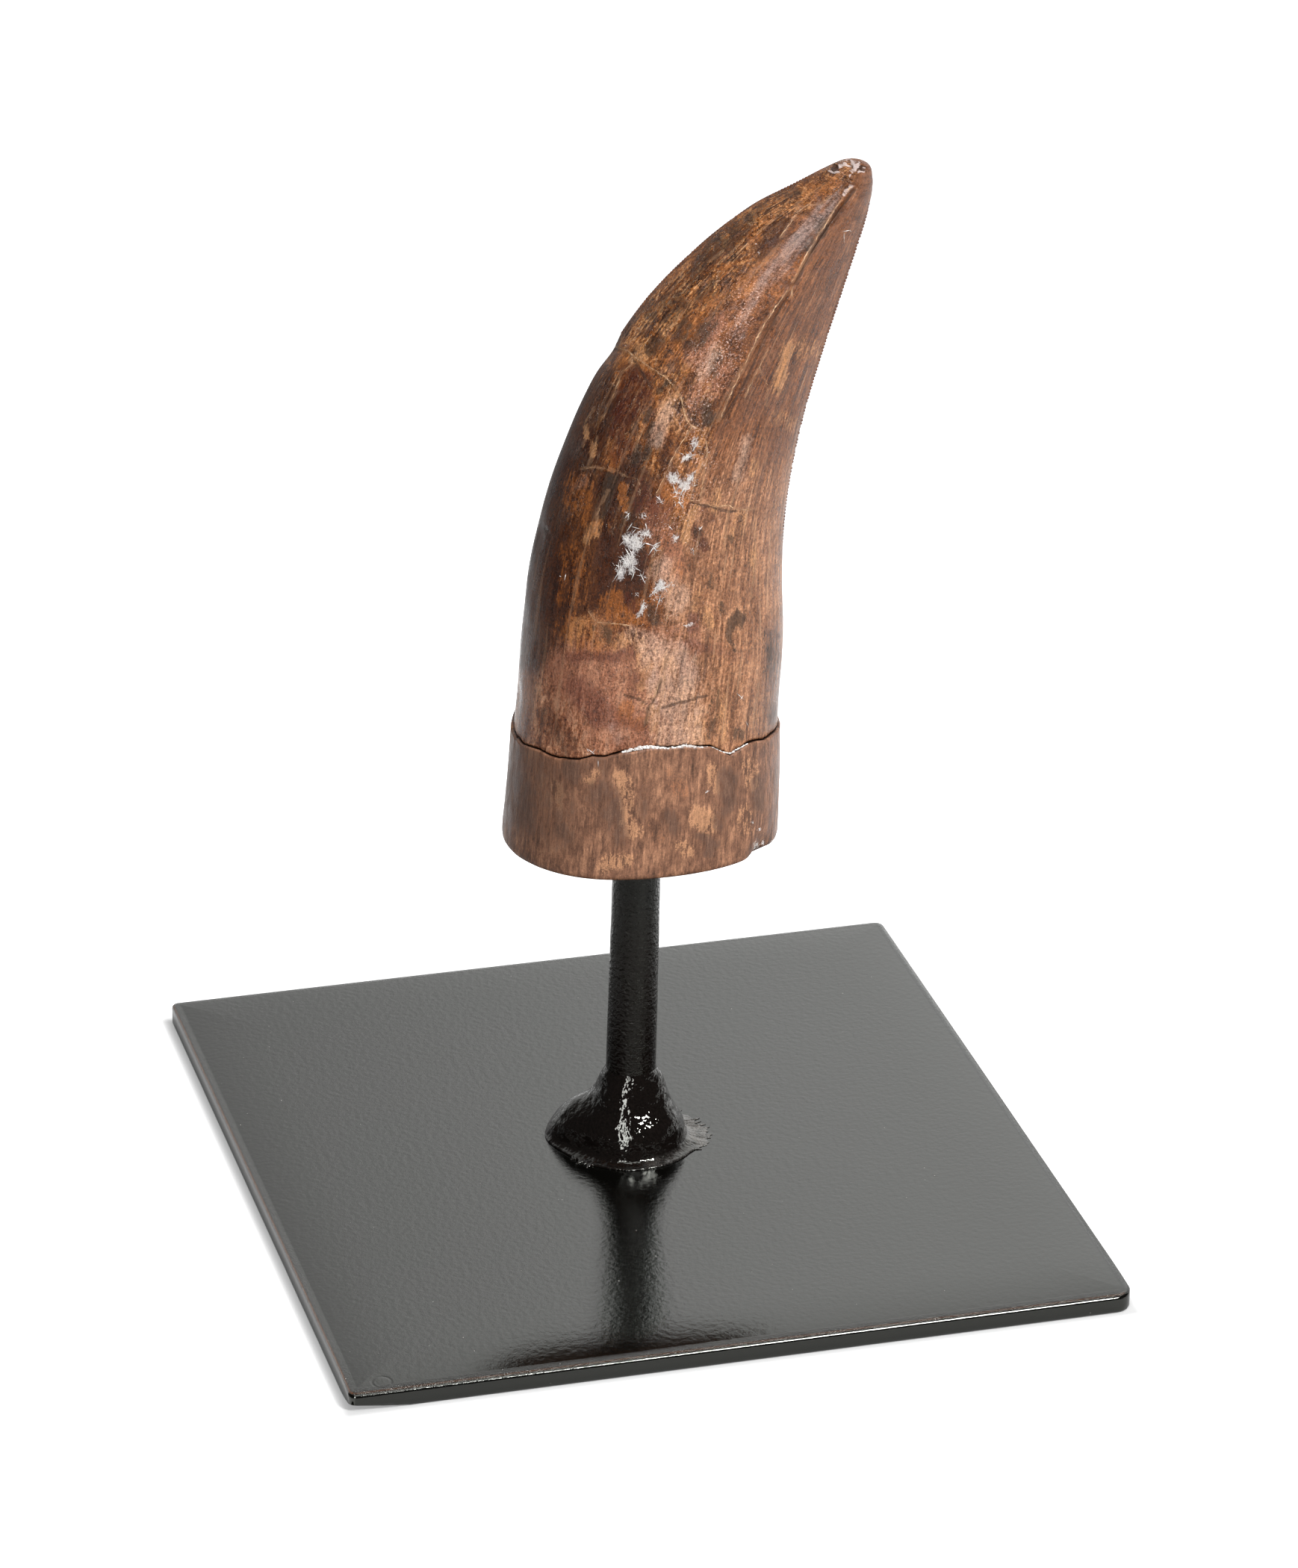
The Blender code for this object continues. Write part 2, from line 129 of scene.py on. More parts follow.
CROWN_DENTS = (  # section, angle, radius, depth
    (12.35, 128.0, 0.9, 0.40), (12.6, 60.0, 0.8, 0.35), (6.35, 178.0, 2.2, 0.45),
    (4.3, 170.0, 1.8, 0.30), (2.2, 172.0, 2.0, 0.30),
)
ROOT_CHIPS = ((26.0, 1.9, 0.9), (305.0, 2.2, 0.7))  # angle, radius, depth
SERRATIONS = (  # name, angle, first and last section, pitch, size, seed
    ("distal_serration", 0.0, 4.3, 10.9, 0.44, 0.22, 7),
    ("mesial_serration", 180.0, 6.6, 11.2, 0.42, 0.16, 8),
)


# ---------------------------------------------------------------- marks read from the photograph
# Strokes painted on the crown and on the root: (half width in pixels, strength, point, point, ...)
STROKES = {
    "shards": (
        (26, 1.0, (1060, 262), (1010, 300), (960, 345), (905, 400), (860, 460)),
        (22, 0.9, (1000, 330), (940, 400)), (22, 0.9, (930, 430), (890, 500)),
        (14, 0.8, (820, 500), (800, 560)), (20, 0.8, (850, 520), (830, 610)),
        (20, 0.7, (870, 620), (830, 690)), (16, 0.6, (790, 620), (760, 690)),
        (24, 0.6, (935, 530), (930, 640)), (14, 0.6, (905, 700), (860, 760)),
        (18, 0.5, (850, 880), (800, 960)), (16, 0.4, (930, 770), (920, 900)),
        (12, 0.5, (720, 900), (700, 970)), (20, 0.7, (1130, 225), (1110, 240)),
    ),
    "soot": (
        (13, 0.55, (985, 312), (1000, 298)), (16, 0.6, (945, 342), (962, 328)),
        (7, 0.45, (928, 372), (944, 352)), (9, 0.5, (1008, 290), (1022, 280)),
        (12, 0.45, (900, 425), (912, 410)), (8, 0.5, (905, 452), (918, 436)),
        (12, 0.5, (930, 458), (952, 440)), (5, 0.4, (905, 400), (915, 394)),
        (10, 0.45, (870, 420), (890, 405)), (8, 0.45, (1045, 262), (1062, 256)),
        (12, 0.35, (960, 380), (945, 400)), (8, 0.5, (882, 455), (872, 468)),
        (7, 0.8, (816, 640), (810, 656)), (6, 0.7, (806, 662), (796, 690)),
        (4, 0.7, (844, 658), (843, 670)), (8, 0.4, (860, 700), (856, 712)),
        (7, 0.7, (1103, 296), (1098, 308)), (6, 0.7, (1086, 322), (1080, 334)),
        (4, 0.9, (872, 568), (866, 584)), (5, 0.7, (870, 592), (862, 610)),
        (4, 0.9, (856, 598), (848, 618)), (4, 0.6, (884, 578), (880, 596)),
        (5, 0.8, (866, 560), (872, 545)), (6, 0.5, (868, 606), (858, 624)),
        (5, 1.0, (826, 640), (818, 655), (812, 672)), (6, 0.8, (818, 660), (808, 690)),
        (6, 0.9, (884, 520), (896, 512)), (5, 0.8, (876, 455), (871, 472)),
        (6, 0.8, (945, 552), (944, 566)), (8, 0.7, (946, 545), (950, 558)),
        (7, 0.6, (962, 480), (955, 500)), (8, 0.75, (873, 819), (879, 834)),
        (10, 0.6, (803, 843), (812, 850)), (8, 1.0, (988, 829), (982, 836)),
        (6, 1.0, (981, 838), (978, 854)), (4, 0.9, (996, 826), (988, 830)),
        (3, 0.8, (978, 856), (980, 868)), (5, 0.7, (950, 772), (951, 782)),
        (4, 0.7, (964, 812), (964, 820)), (5, 0.6, (978, 721), (986, 722)),
        (5, 0.6, (936, 712), (936, 724)), (6, 0.45, (956, 930), (954, 980)),
        (9, 0.5, (1028, 850), (1030, 890)), (8, 0.5, (984, 978), (992, 984)),
        (9, 0.6, (845, 694), (838, 705)), (12, 0.4, (768, 600), (780, 620)),
    ),
    "pits": (
        (3.5, 1.0, (1115, 223), (1120, 224)), (2.5, 0.8, (1141, 221), (1143, 222)),
        (3.2, 0.9, (1148, 225), (1157, 224)), (2.0, 0.7, (1131, 234), (1128, 240)),
        (2.0, 0.6, (1103, 232), (1110, 229)),
    ),
    # painted highlights on the rims of the tip's pits and across its top
    "rims": (
        (2.0, 1.0, (1109, 228), (1121, 229)), (2.0, 0.9, (1125, 222), (1130, 219), (1136, 221)),
        (2.4, 1.0, (1140, 217), (1144, 222), (1141, 227)), (2.0, 1.0, (1144, 222), (1150, 219)),
        (1.8, 0.9, (1147, 229), (1158, 228)), (1.5, 0.8, (1137, 231), (1139, 232)),
        (2.6, 0.6, (1130, 260), (1135, 252), (1141, 247)),
        (2.0, 0.5, (1115, 215), (1130, 213), (1145, 215)),
    ),
    "maroon": (
        (15, 1.0, (848, 505), (842, 530), (838, 550)), (12, 1.0, (862, 512), (852, 545)),
        (11, 0.9, (832, 560), (828, 585)), (14, 0.7, (836, 600), (826, 612)),
        (8, 0.8, (934, 712), (940, 730)), (16, 0.5, (862, 655), (870, 690)),
        (14, 0.5, (890, 680), (900, 700)), (12, 0.5, (870, 745), (866, 775)),
        (9, 0.6, (840, 800), (850, 812)), (7, 0.5, (946, 686), (952, 694)),
    ),
    "blush": (
        (18, 0.9, (772, 922), (800, 955)), (16, 0.9, (795, 940), (818, 962)),
        (8, 0.7, (842, 964), (862, 972)), (10, 0.9, (918, 866), (940, 869)),
        (10, 1.0, (914, 880), (920, 898)), (8, 0.9, (929, 826), (929, 842)),
        (6, 0.8, (760, 879), (800, 878), (844, 874)), (20, 0.4, (745, 900), (760, 960)),
        (10, 0.6, (850, 905), (905, 915)), (9, 0.5, (880, 960), (930, 950)),
        (14, 0.4, (830, 1000), (900, 992)), (12, 0.5, (700, 900), (705, 980)),
        (10, 0.4, (960, 870), (1000, 880)),
    ),
    "rust": (
        (10, 1.0, (952, 402), (938, 420), (922, 446)), (8, 0.8, (974, 358), (964, 370)),
        (9, 0.7, (1012, 316), (1006, 322)), (8, 0.6, (1116, 246), (1104, 256)),
        (7, 0.6, (1030, 292), (1022, 300)), (8, 0.7, (995, 425), (986, 438)),
        (12, 0.6, (880, 466), (892, 478)), (9, 0.7, (900, 456), (906, 470)),
        (7, 1.0, (822, 612), (820, 626)), (6, 1.2, (834, 652), (833, 668)),
        (5, 0.8, (840, 668), (834, 680)), (24, 0.55, (770, 655), (790, 690)),
        (17, 0.9, (820, 806), (824, 822)), (9, 0.9, (843, 824), (850, 830)),
        (22, 0.6, (766, 845), (800, 862)), (20, 0.45, (770, 740), (765, 800)),
        (9, 0.8, (842, 946), (834, 958), (858, 968)), (12, 0.4, (925, 600), (930, 620)),
        (9, 0.5, (858, 488), (870, 500)), (14, 0.4, (905, 765), (900, 780)),
    ),
    "tan": (
        (11, 0.55, (893, 535), (885, 556)), (8, 0.5, (906, 535), (902, 570)),
        (5, 0.9, (934, 676), (928, 692), (921, 708), (917, 726)), (8, 0.7, (858, 466), (866, 474)),
        (6, 0.9, (858, 474), (850, 486)), (5, 0.8, (796, 590), (793, 604)),
        (4, 0.8, (782, 570), (786, 586)), (9, 0.6, (886, 442), (896, 434)),
        (6, 0.7, (792, 700), (784, 720)), (5, 0.6, (806, 690), (800, 715)),
        (7, 0.95, (922, 702), (918, 718)), (6, 0.9, (928, 690), (924, 704)),
        (10, 0.5, (1050, 480), (1042, 520)), (5, 0.8, (1059, 466), (1052, 493), (1043, 517)),
        (6, 0.6, (1014, 616), (1010, 632)), (6, 0.7, (960, 662), (954, 684)),
        (10, 0.5, (770, 838), (764, 860)), (5, 0.7, (1008, 740), (1006, 762)),
        (7, 0.6, (990, 690), (986, 720)), (7, 0.5, (934, 790), (930, 815)),
        (6, 0.7, (944, 812), (952, 836)), (6, 0.9, (875, 950), (870, 974)),
        (9, 0.5, (966, 935), (968, 985)), (40, 0.45, (880, 905), (905, 985)),
        (16, 0.5, (775, 842), (850, 862)), (7, 0.4, (935, 950), (938, 985)),
        (16, 0.4, (1060, 470), (1084, 468)), (12, 0.35, (1040, 560), (1060, 566)),
        (8, 0.6, (868, 895), (862, 912)),
    ),
    "umber": (
        (30, 1.0, (800, 545), (776, 600), (760, 650)), (34, 1.0, (764, 650), (750, 720), (748, 800)),
        (24, 0.95, (845, 640), (832, 700), (822, 780)), (30, 0.95, (800, 660), (785, 780)),
        (16, 0.7, (850, 740), (845, 790)), (30, 0.8, (725, 700), (712, 800), (708, 870)),
        (12, 0.5, (890, 610), (900, 640)), (16, 0.6, (840, 770), (826, 790)),
        (20, 0.6, (750, 800), (742, 860)), (26, 0.9, (780, 560), (750, 680)),
        (24, 0.8, (800, 700), (780, 800)), (12, 0.6, (810, 500), (795, 540)),
        (12, 0.6, (1034, 850), (1036, 960)), (16, 0.5, (960, 545), (950, 575)),
        (14, 0.5, (730, 960), (760, 1000)), (10, 0.5, (800, 880), (850, 880)),
        (16, 0.6, (1050, 300), (1020, 330)),
    ),
    "rose": (
        (40, 0.8, (770, 900), (860, 920)), (30, 0.8, (830, 900), (880, 960)),
        (26, 0.6, (800, 980), (900, 985)), (20, 0.6, (880, 690), (900, 760)),
        (16, 0.6, (930, 480), (960, 440)), (20, 0.5, (960, 500), (935, 540)),
        (18, 0.5, (880, 860), (930, 850)),
    ),
    "blond": (
        (34, 0.7, (900, 890), (906, 985)), (18, 0.6, (885, 765), (905, 800)),
        (12, 0.5, (895, 545), (880, 590)), (14, 0.6, (850, 850), (880, 870)),
        (10, 0.5, (1000, 590), (990, 640)), (12, 0.5, (940, 500), (960, 470)),
    ),
    "chalk": (
        (4, 0.8, (838, 719), (841, 727)), (6, 0.9, (850, 719), (852, 734)),
        (4, 0.8, (863, 717), (869, 713)), (6, 0.8, (838, 748), (847, 754)),
        (4, 0.9, (832, 760), (828, 770)), (4, 0.5, (843, 763), (848, 765)),
        (5, 0.85, (886, 783), (882, 790)), (5, 0.85, (900, 641), (906, 645)),
        (5, 0.8, (914, 650), (920, 650)), (4, 0.7, (924, 642), (928, 637)),
        (3, 0.6, (904, 718), (905, 726)), (3, 0.7, (930, 590), (928, 598)),
        (4, 0.6, (921, 612), (914, 617)), (3, 0.5, (918, 838), (927, 837)),
        (3, 0.5, (864, 690), (863, 692)), (2, 0.7, (862, 807), (856, 822)),
    ),
    # speckled zone: its tiny pale specks are partly mineral grit, partly painted glints
    "grit": (
        (22, 0.9, (1000, 400), (985, 440), (965, 490)), (18, 0.9, (960, 495), (940, 530), (930, 560)),
        (14, 0.7, (930, 470), (940, 500)), (12, 0.6, (905, 530), (915, 560)),
        (16, 0.7, (930, 580), (940, 620)), (20, 0.6, (905, 640), (925, 680)),
        (16, 0.5, (895, 700), (935, 730)), (14, 0.4, (960, 650), (980, 660)),
        (16, 0.35, (900, 830), (930, 840)), (10, 0.5, (1120, 240), (1140, 232)),
    ),
    # paler, smoother patches: along the ridge a painted sheen of its glossy strip, lower down a few pale
    # spots
    "pale": (
        (7, 0.9, (1119, 262), (1108, 280)), (9, 1.0, (1104, 280), (1088, 300)),
        (10, 1.0, (1084, 304), (1066, 326)), (10, 1.0, (1060, 332), (1044, 352)),
        (10, 1.0, (1038, 358), (1024, 378)), (8, 0.9, (1020, 384), (1010, 402)),
        (7, 0.75, (1006, 408), (994, 428)), (7, 0.6, (994, 430), (990, 452)),
        (7, 0.9, (877, 942), (880, 950)), (9, 0.55, (822, 978), (830, 988)),
        (8, 0.5, (872, 900), (868, 920)), (10, 0.35, (776, 592), (768, 606)),
        (8, 0.4, (778, 645), (772, 650)),
    ),
}
ROOT_STROKES = {
    "soot": (
        (10, 0.9, (766, 1024), (770, 1040)), (8, 0.8, (762, 1020), (758, 1030)),
        (18, 0.7, (806, 1066), (818, 1080)), (12, 0.7, (822, 1095), (832, 1120)),
        (8, 0.7, (750, 1112), (760, 1122)), (9, 0.8, (896, 1094), (903, 1108)),
        (13, 0.9, (976, 1044), (976, 1070)), (9, 0.8, (968, 1085), (962, 1102)),
        (8, 0.8, (1014, 1050), (1016, 1080)), (7, 0.8, (950, 1125), (948, 1142)),
        (16, 0.7, (690, 1010), (688, 1090)), (12, 0.6, (706, 1060), (704, 1110)),
        (30, 0.4, (730, 1040), (745, 1110)), (7, 0.6, (938, 1122), (956, 1128)),
        (10, 0.5, (800, 1018), (812, 1030)), (6, 0.5, (776, 1024), (784, 1030)),
        (10, 0.35, (862, 1062), (856, 1090)),
    ),
    "tan": (
        (10, 0.7, (832, 1040), (838, 1062)), (12, 0.6, (840, 1080), (846, 1110)),
        (9, 0.8, (944, 1090), (948, 1108)), (8, 0.7, (955, 1030), (958, 1052)),
        (9, 0.6, (1002, 1020), (1010, 1050)), (8, 0.5, (745, 1050), (750, 1075)),
        (10, 0.6, (838, 1150), (812, 1156)), (8, 0.5, (910, 1130), (925, 1140)),
        (9, 0.5, (1000, 1085), (996, 1110)), (7, 0.5, (800, 1035), (792, 1046)),
        (8, 0.6, (930, 1085), (934, 1100)),
    ),
    "rust": (
        (12, 0.5, (730, 1090), (742, 1120)), (10, 0.4, (900, 1040), (912, 1060)),
        (8, 0.4, (870, 1100), (880, 1120)),
    ),
}
RIDGE_LINE = (  # border between the mottled and the smooth face
    (1150, 225), (1145, 250), (1121, 279), (1107, 304), (1092, 323), (1061, 377), (1036, 413),
    (1015, 449), (988, 507), (962, 568), (945, 610), (932, 660), (915, 720), (900, 780), (893, 870),
    (880, 950), (874, 1010),
)
RIDGE_SOFTNESS = ((500, 620, 760, 1000), (3, 8, 16, 26))  # pixel rows, and half width of the border
LOWER_SPAN, TAN_SPAN = (800, 900), (560, 780)  # pixel rows over which the tones change

# Low relief: (half width in pixels, height, point, point, ...)
RIDGE_TOP = ((1139, 250), (1121, 275), (1105, 301), (1089, 326), (1076, 348), (1060, 378))
RIDGE_FOOT = ((1056, 387), (1043, 404), (1031, 423), (1018, 445), (1006, 470), (988, 507), (962, 566))
RELIEF = (
    (3.2, -0.30, (1117, 223), (1119, 224)), (4.0, -0.24, (1148, 224), (1153, 225)),
    (2.5, 0.07, (1107, 228), (1121, 229)), (2.8, 0.09, (1126, 221), (1136, 221)),
    (2.5, 0.09, (1142, 219), (1145, 226)), (2.0, 0.07, (1146, 229), (1160, 229)),
    (3.5, -0.10, (1137, 227), (1130, 233)), (2.5, -0.08, (1135, 238), (1128, 241)),
    (3.2, 0.20, *RIDGE_TOP), (2.8, 0.16, *RIDGE_FOOT),
    (3.2, -0.20, (1147, 253), (1121, 287), (1101, 319), (1083, 346), (1066, 382)),
    (3.0, -0.16, (1052, 405), (1034, 436), (1016, 470), (998, 514), (970, 562)),
    (2.6, 0.08, (824, 460), (841, 466), (856, 477), (872, 488), (893, 501), (906, 515), (917, 545)),
    (3.0, -0.09, (824, 469), (838, 475), (852, 486), (868, 497), (888, 511), (908, 530), (914, 560)),
    (4.5, -0.05, (893, 530), (888, 562)), (4.0, -0.06, (856, 500), (846, 520), (836, 556)),
    (2.5, 0.06, (846, 480), (834, 500), (826, 520), (812, 556)), (4.0, -0.07, (868, 560), (860, 606)),
    (3.6, 0.07, (1057, 466), (1051, 493), (1042, 517)), (2.6, 0.05, (926, 574), (898, 618), (879, 660)),
    (2.6, 0.05, (946, 588), (940, 664)), (3.0, -0.06, (924, 676), (980, 684), (1010, 686)),
    (2.6, -0.06, (777, 632), (826, 635)), (3.0, -0.07, (822, 645), (808, 672), (800, 710)),
    (3.0, -0.06, (730, 708), (737, 720)), (3.0, 0.05, (786, 817), (800, 832), (845, 838)),
    (5.0, -0.07, (803, 845), (812, 850)), (2.2, -0.05, (893, 874), (879, 925), (866, 970)),
    (2.2, -0.04, (836, 931), (868, 943), (907, 942), (949, 933)), (3.5, -0.06, (985, 833), (978, 860)),
    (4.0, 0.06, (930, 690), (920, 712), (917, 728)), (2.5, -0.05, (720, 860), (716, 880)),
    (3.0, -0.05, (745, 770), (752, 772)), (4.0, -0.05, (900, 290), (905, 300)),
    (3.0, 0.06, (1064, 282), (1046, 316)), (3.0, 0.05, (1033, 296), (1010, 316)),
    (3.0, 0.05, (998, 328), (972, 354)), (3.0, -0.05, (1072, 284), (1052, 316)),
    (3.0, 0.05, (902, 416), (880, 446), (860, 470)), (3.0, -0.05, (920, 420), (892, 456)),
)

# Cracks, and the lines on the ridge's crest and in its groove: (half width in pixels, share that is broken
# away, point, point, ...)
CREAM_LINES = (
    (2.0, 0.1, (824, 464), (840, 470), (854, 481), (870, 492), (891, 505), (903, 517), (912, 531),
     (914, 545), (919, 561), (926, 570), (942, 577)),
    (1.2, 0.3, (847, 475), (846, 489), (833, 498), (826, 517), (817, 540), (807, 561)),
    (0.9, 0.3, (926, 572), (912, 594), (898, 617), (889, 640), (879, 661)),
    (0.9, 0.3, (945, 589), (947, 607), (944, 631), (938, 668)),
    (0.8, 0.4, (940, 618), (931, 640), (924, 670)),
    (1.1, 0.35, (924, 671), (940, 672), (954, 678), (977, 677), (987, 683), (1012, 682)),
    (0.8, 0.5, (777, 628), (798, 626), (826, 631), (840, 638)),
    (1.2, 0.25, (787, 818), (799, 833), (824, 835), (845, 838)), (0.8, 0.4, (828, 824), (826, 842)),
    (1.0, 0.4, (894, 870), (926, 873)),
    (0.9, 0.5, (893, 871), (886, 901), (879, 925), (872, 943), (866, 969)),
    (0.7, 0.5, (896, 874), (889, 913), (883, 950), (879, 992)),
    (1.1, 0.25, (1068, 276), (1065, 288), (1056, 302), (1044, 318)),
    (0.8, 0.5, (1064, 286), (1078, 276), (1100, 271), (1112, 264)),
    (0.8, 0.45, (1035, 294), (1024, 303), (1013, 313)), (0.8, 0.5, (1000, 326), (985, 340), (972, 354)),
    # the last two here: the cream line on the ridge's crest, partly painted highlight
    (0.8, 0.5, (968, 336), (950, 352)), (1.2, 0.2, *RIDGE_TOP), (1.3, 0.1, *RIDGE_FOOT),
    (1.0, 0.3, (1060, 386), (1061, 399)), (0.8, 0.35, (1029, 466), (1017, 491), (1003, 519), (997, 534)),
    (0.7, 0.5, (1017, 492), (1028, 517), (1028, 543)),
    (0.6, 0.62, (796, 545), (783, 567), (786, 582), (780, 600)),
    (0.5, 0.62, (800, 585), (794, 606), (788, 622)), (0.8, 0.6, (866, 568), (855, 590), (850, 604)),
    (0.5, 0.66, (815, 655), (803, 676), (796, 712)), (0.7, 0.6, (886, 740), (880, 765), (872, 790)),
    (0.6, 0.6, (905, 745), (898, 790), (893, 830)), (0.6, 0.6, (1012, 700), (1010, 760), (1006, 800)),
    (0.6, 0.65, (990, 640), (975, 690), (968, 740)),
)
DARK_LINES = (
    # these two: a dark line in the groove beside the ridge, painted shade
    (0.7, 0.4, (1145, 254), (1118, 290), (1100, 317), (1083, 343), (1066, 380)),
    (0.8, 0.35, (1050, 405), (1036, 430), (1022, 456), (1008, 488), (996, 514), (968, 561)),
    (0.4, 0.3, (835, 930), (845, 934), (856, 937), (867, 944)),
    (0.35, 0.5, (886, 949), (907, 941), (949, 932)),
    (0.5, 0.3, (893, 876), (888, 905), (878, 935), (868, 950), (864, 972)),
    (0.9, 0.4, (838, 634), (826, 650), (810, 690)), (0.8, 0.4, (848, 482), (860, 500), (872, 520)),
    (0.9, 0.3, (729, 706), (733, 716), (737, 722)), (0.8, 0.4, (940, 574), (930, 566), (922, 552)),
    (0.8, 0.5, (924, 673), (955, 680), (985, 686)),
)
LINE_STEP, WORN_AWAY = 1.2, 0.62

# White mineral: single needles, then clusters of short slivers
NEEDLES = (  # half width in pixels, start, end
    (0.9, (837, 753), (820, 780)), (0.5, (836, 724), (829, 731)), (0.8, (837, 734), (846, 749)),
    (0.7, (841, 733), (852, 752)), (0.5, (824, 756), (830, 760)), (0.5, (829, 749), (832, 755)),
    (1.3, (863, 805), (854, 826)), (0.9, (863, 727), (875, 731)), (0.8, (874, 731), (886, 725)),
    (0.8, (875, 733), (868, 744)), (0.6, (874, 731), (880, 739)), (0.9, (880, 787), (870, 799)),
    (0.7, (857, 767), (864, 782)), (0.4, (885, 795), (876, 826)), (0.6, (850, 765), (845, 778)),
    (0.4, (845, 705), (860, 709)), (0.4, (852, 708), (845, 716)), (0.7, (847, 700), (839, 712)),
    (0.8, (864, 700), (866, 708)), (0.6, (844, 686), (836, 695)), (0.6, (901, 648), (905, 661)),
    (0.8, (918, 648), (909, 668)), (0.8, (929, 636), (918, 648)), (0.6, (907, 664), (900, 666)),
    (0.6, (908, 671), (914, 679)), (0.7, (895, 704), (901, 710)), (0.6, (941, 704), (935, 711)),
    (0.6, (878, 664), (886, 671)), (0.7, (886, 789), (897, 783)), (0.6, (925, 592), (932, 586)),
    (0.7, (932, 596), (926, 606)), (0.8, (922, 611), (912, 617)), (0.6, (758, 768), (756, 778)),
    (0.5, (749, 771), (752, 773)), (0.5, (1139, 308), (1127, 310)), (0.6, (1130, 311), (1130, 326)),
    (0.5, (1140, 311), (1137, 307)), (0.5, (698, 978), (694, 992)), (0.5, (787, 1003), (797, 1010)),
    (0.5, (792, 1010), (798, 1002)), (0.5, (986, 928), (997, 938)), (0.4, (990, 938), (996, 930)),
    (0.4, (998, 965), (1003, 975)), (0.4, (944, 1062), (951, 1058)), (0.4, (801, 1018), (801, 1027)),
)
SLIVER_CLUSTERS = (  # middle, half size, tilt in degrees, slivers, longest sliver in mm
    ((930, 594), (4, 8), 10, 30, 0.6), ((920, 612), (8, 5), 20, 60, 0.6),
    ((903, 642), (6, 6), 0, 90, 0.8), ((917, 650), (7, 5), 0, 80, 0.9), ((926, 638), (5, 7), 0, 40, 0.8),
    ((909, 661), (7, 4), 0, 26, 0.9), ((884, 670), (5, 6), 0, 30, 0.5), ((911, 672), (7, 5), 0, 26, 0.7),
    ((842, 690), (5, 5), 0, 14, 0.7), ((863, 690), (4, 4), 0, 20, 0.5), ((840, 722), (5, 6), 0, 90, 0.7),
    ((852, 727), (8, 11), 0, 190, 0.8), ((866, 715), (6, 5), -20, 60, 0.7),
    ((842, 751), (9, 9), 20, 150, 1.1), ((830, 763), (5, 8), 30, 60, 0.9),
    ((846, 763), (5, 4), 0, 40, 0.5), ((877, 734), (4, 6), 45, 26, 0.8),
    ((861, 774), (2, 6), 20, 10, 0.7), ((904, 722), (4, 6), 0, 50, 0.5), ((938, 707), (3, 2), 0, 8, 0.4),
    ((927, 738), (3, 4), 0, 16, 0.3), ((885, 785), (6, 6), 0, 90, 0.9), ((897, 783), (6, 3), 0, 30, 0.6),
    ((876, 796), (5, 5), 20, 30, 0.8), ((884, 804), (5, 7), 0, 24, 0.8),
    ((863, 812), (4, 8), 25, 30, 0.7), ((853, 795), (2, 2), 0, 10, 0.4), ((922, 838), (6, 2), 0, 26, 0.4),
    ((791, 1008), (5, 3), 0, 6, 0.6), ((1016, 338), (1.2, 1.2), 0, 8, 0.3),
    ((1012, 327), (1, 1), 0, 5, 0.25), ((946, 1061), (3, 2), 30, 6, 0.4),
    ((1012, 1132), (3, 5), 0, 80, 0.40), ((1021, 1129), (3, 3), 0, 36, 0.35),
    ((1034, 1127), (2, 3), 0, 30, 0.3), ((1008, 1101), (1.5, 1.5), 0, 14, 0.3),
    ((1017, 1111), (2, 3), -40, 18, 0.3), ((920, 662), (14, 16), 0, 50, 0.16),
    ((880, 700), (26, 26), 0, 60, 0.13), ((905, 690), (20, 20), 0, 50, 0.13),
    ((960, 470), (30, 40), 25, 170, 0.13), ((925, 540), (14, 30), 10, 70, 0.12),
    ((940, 600), (20, 40), 0, 60, 0.12), ((885, 830), (26, 16), 0, 50, 0.14),
    ((840, 760), (40, 60), 0, 60, 0.10), ((930, 700), (40, 60), 0, 60, 0.10),
    ((1118, 255), (12, 12), 0, 16, 0.14),
)
LEAN_OF_NEEDLES = np.array((0.35, -0.1, 1.0))

# The break, the glue in it, and the small nuggets that glue and serrations are made of
BREAK_PIXEL, BREAK_LEFT_PIXEL = 1012, (700, 975)  # row below the crown, and the corner at its left
SEAM_REACH = 6
GLUE_SPAN = (
    (834, 1007), (850, 1003), (869, 1000), (896, 1002), (919, 998), (931, 1001), (954, 1001), (965, 1006),
    (978, 1009), (988, 1003), (1001, 996),
)
GLUE_CRUMBS, GLUE_THICKNESS = 330, 0.4
GLUE_HEAPS = ((860, 30, 0.6), (925, 16, 0.5))  # pixel column, half width and extra thickness
BLOB_RINGS, BLOB_SIDES = 4, 7
BROKEN_DENTICLES = 0.06
ROOT_FLOW_TOP = 15.0


# ---------------------------------------------------------------- small tools
def hashed(cell, seed):
    """Repeatable numbers from 0 to 1, one for each lattice point."""
    value = (cell * (374761393, 668265263, 2147483647)).sum(axis=-1)
    value = (value + seed * 144269504) & 0xFFFFFFFF
    value = ((value ^ (value >> 13)) * 1274126177) & 0xFFFFFFFF
    value = ((value ^ (value >> 16)) * 2246822519) & 0xFFFFFFFF
    return ((value ^ (value >> 15)) & 0xFFFFFF) / float(0xFFFFFF)


def value_noise(points, size, seed=0):
    """Smooth noise from -1 to 1 with lumps of the given size."""
    scaled = np.asarray(points, float) / size
    cell = np.floor(scaled)
    share = scaled - cell
    share = share * share * (3 - 2 * share)
    total = 0.0
    for corner in itertools.product((0, 1), repeat=3):
        weight = np.where(corner, share, 1 - share).prod(axis=-1)
        total = total + weight * hashed(cell.astype(np.int64) + corner, seed)
    return 2 * total - 1


def rough_noise(points, size, octaves, seed=0):
    """Noise from -1 to 1 with ever smaller and weaker lumps on the large ones."""
    total, weight, full = 0.0, 1.0, 0.0
    for octave in range(octaves):
        total = total + weight * value_noise(points, size / 2**octave, seed + 17 * octave)
        full += weight
        weight *= 0.55
    return total / full


def smooth_step(low, high, value):
    share = np.clip((value - low) / (high - low), 0, 1)
    return share * share * (3 - 2 * share)


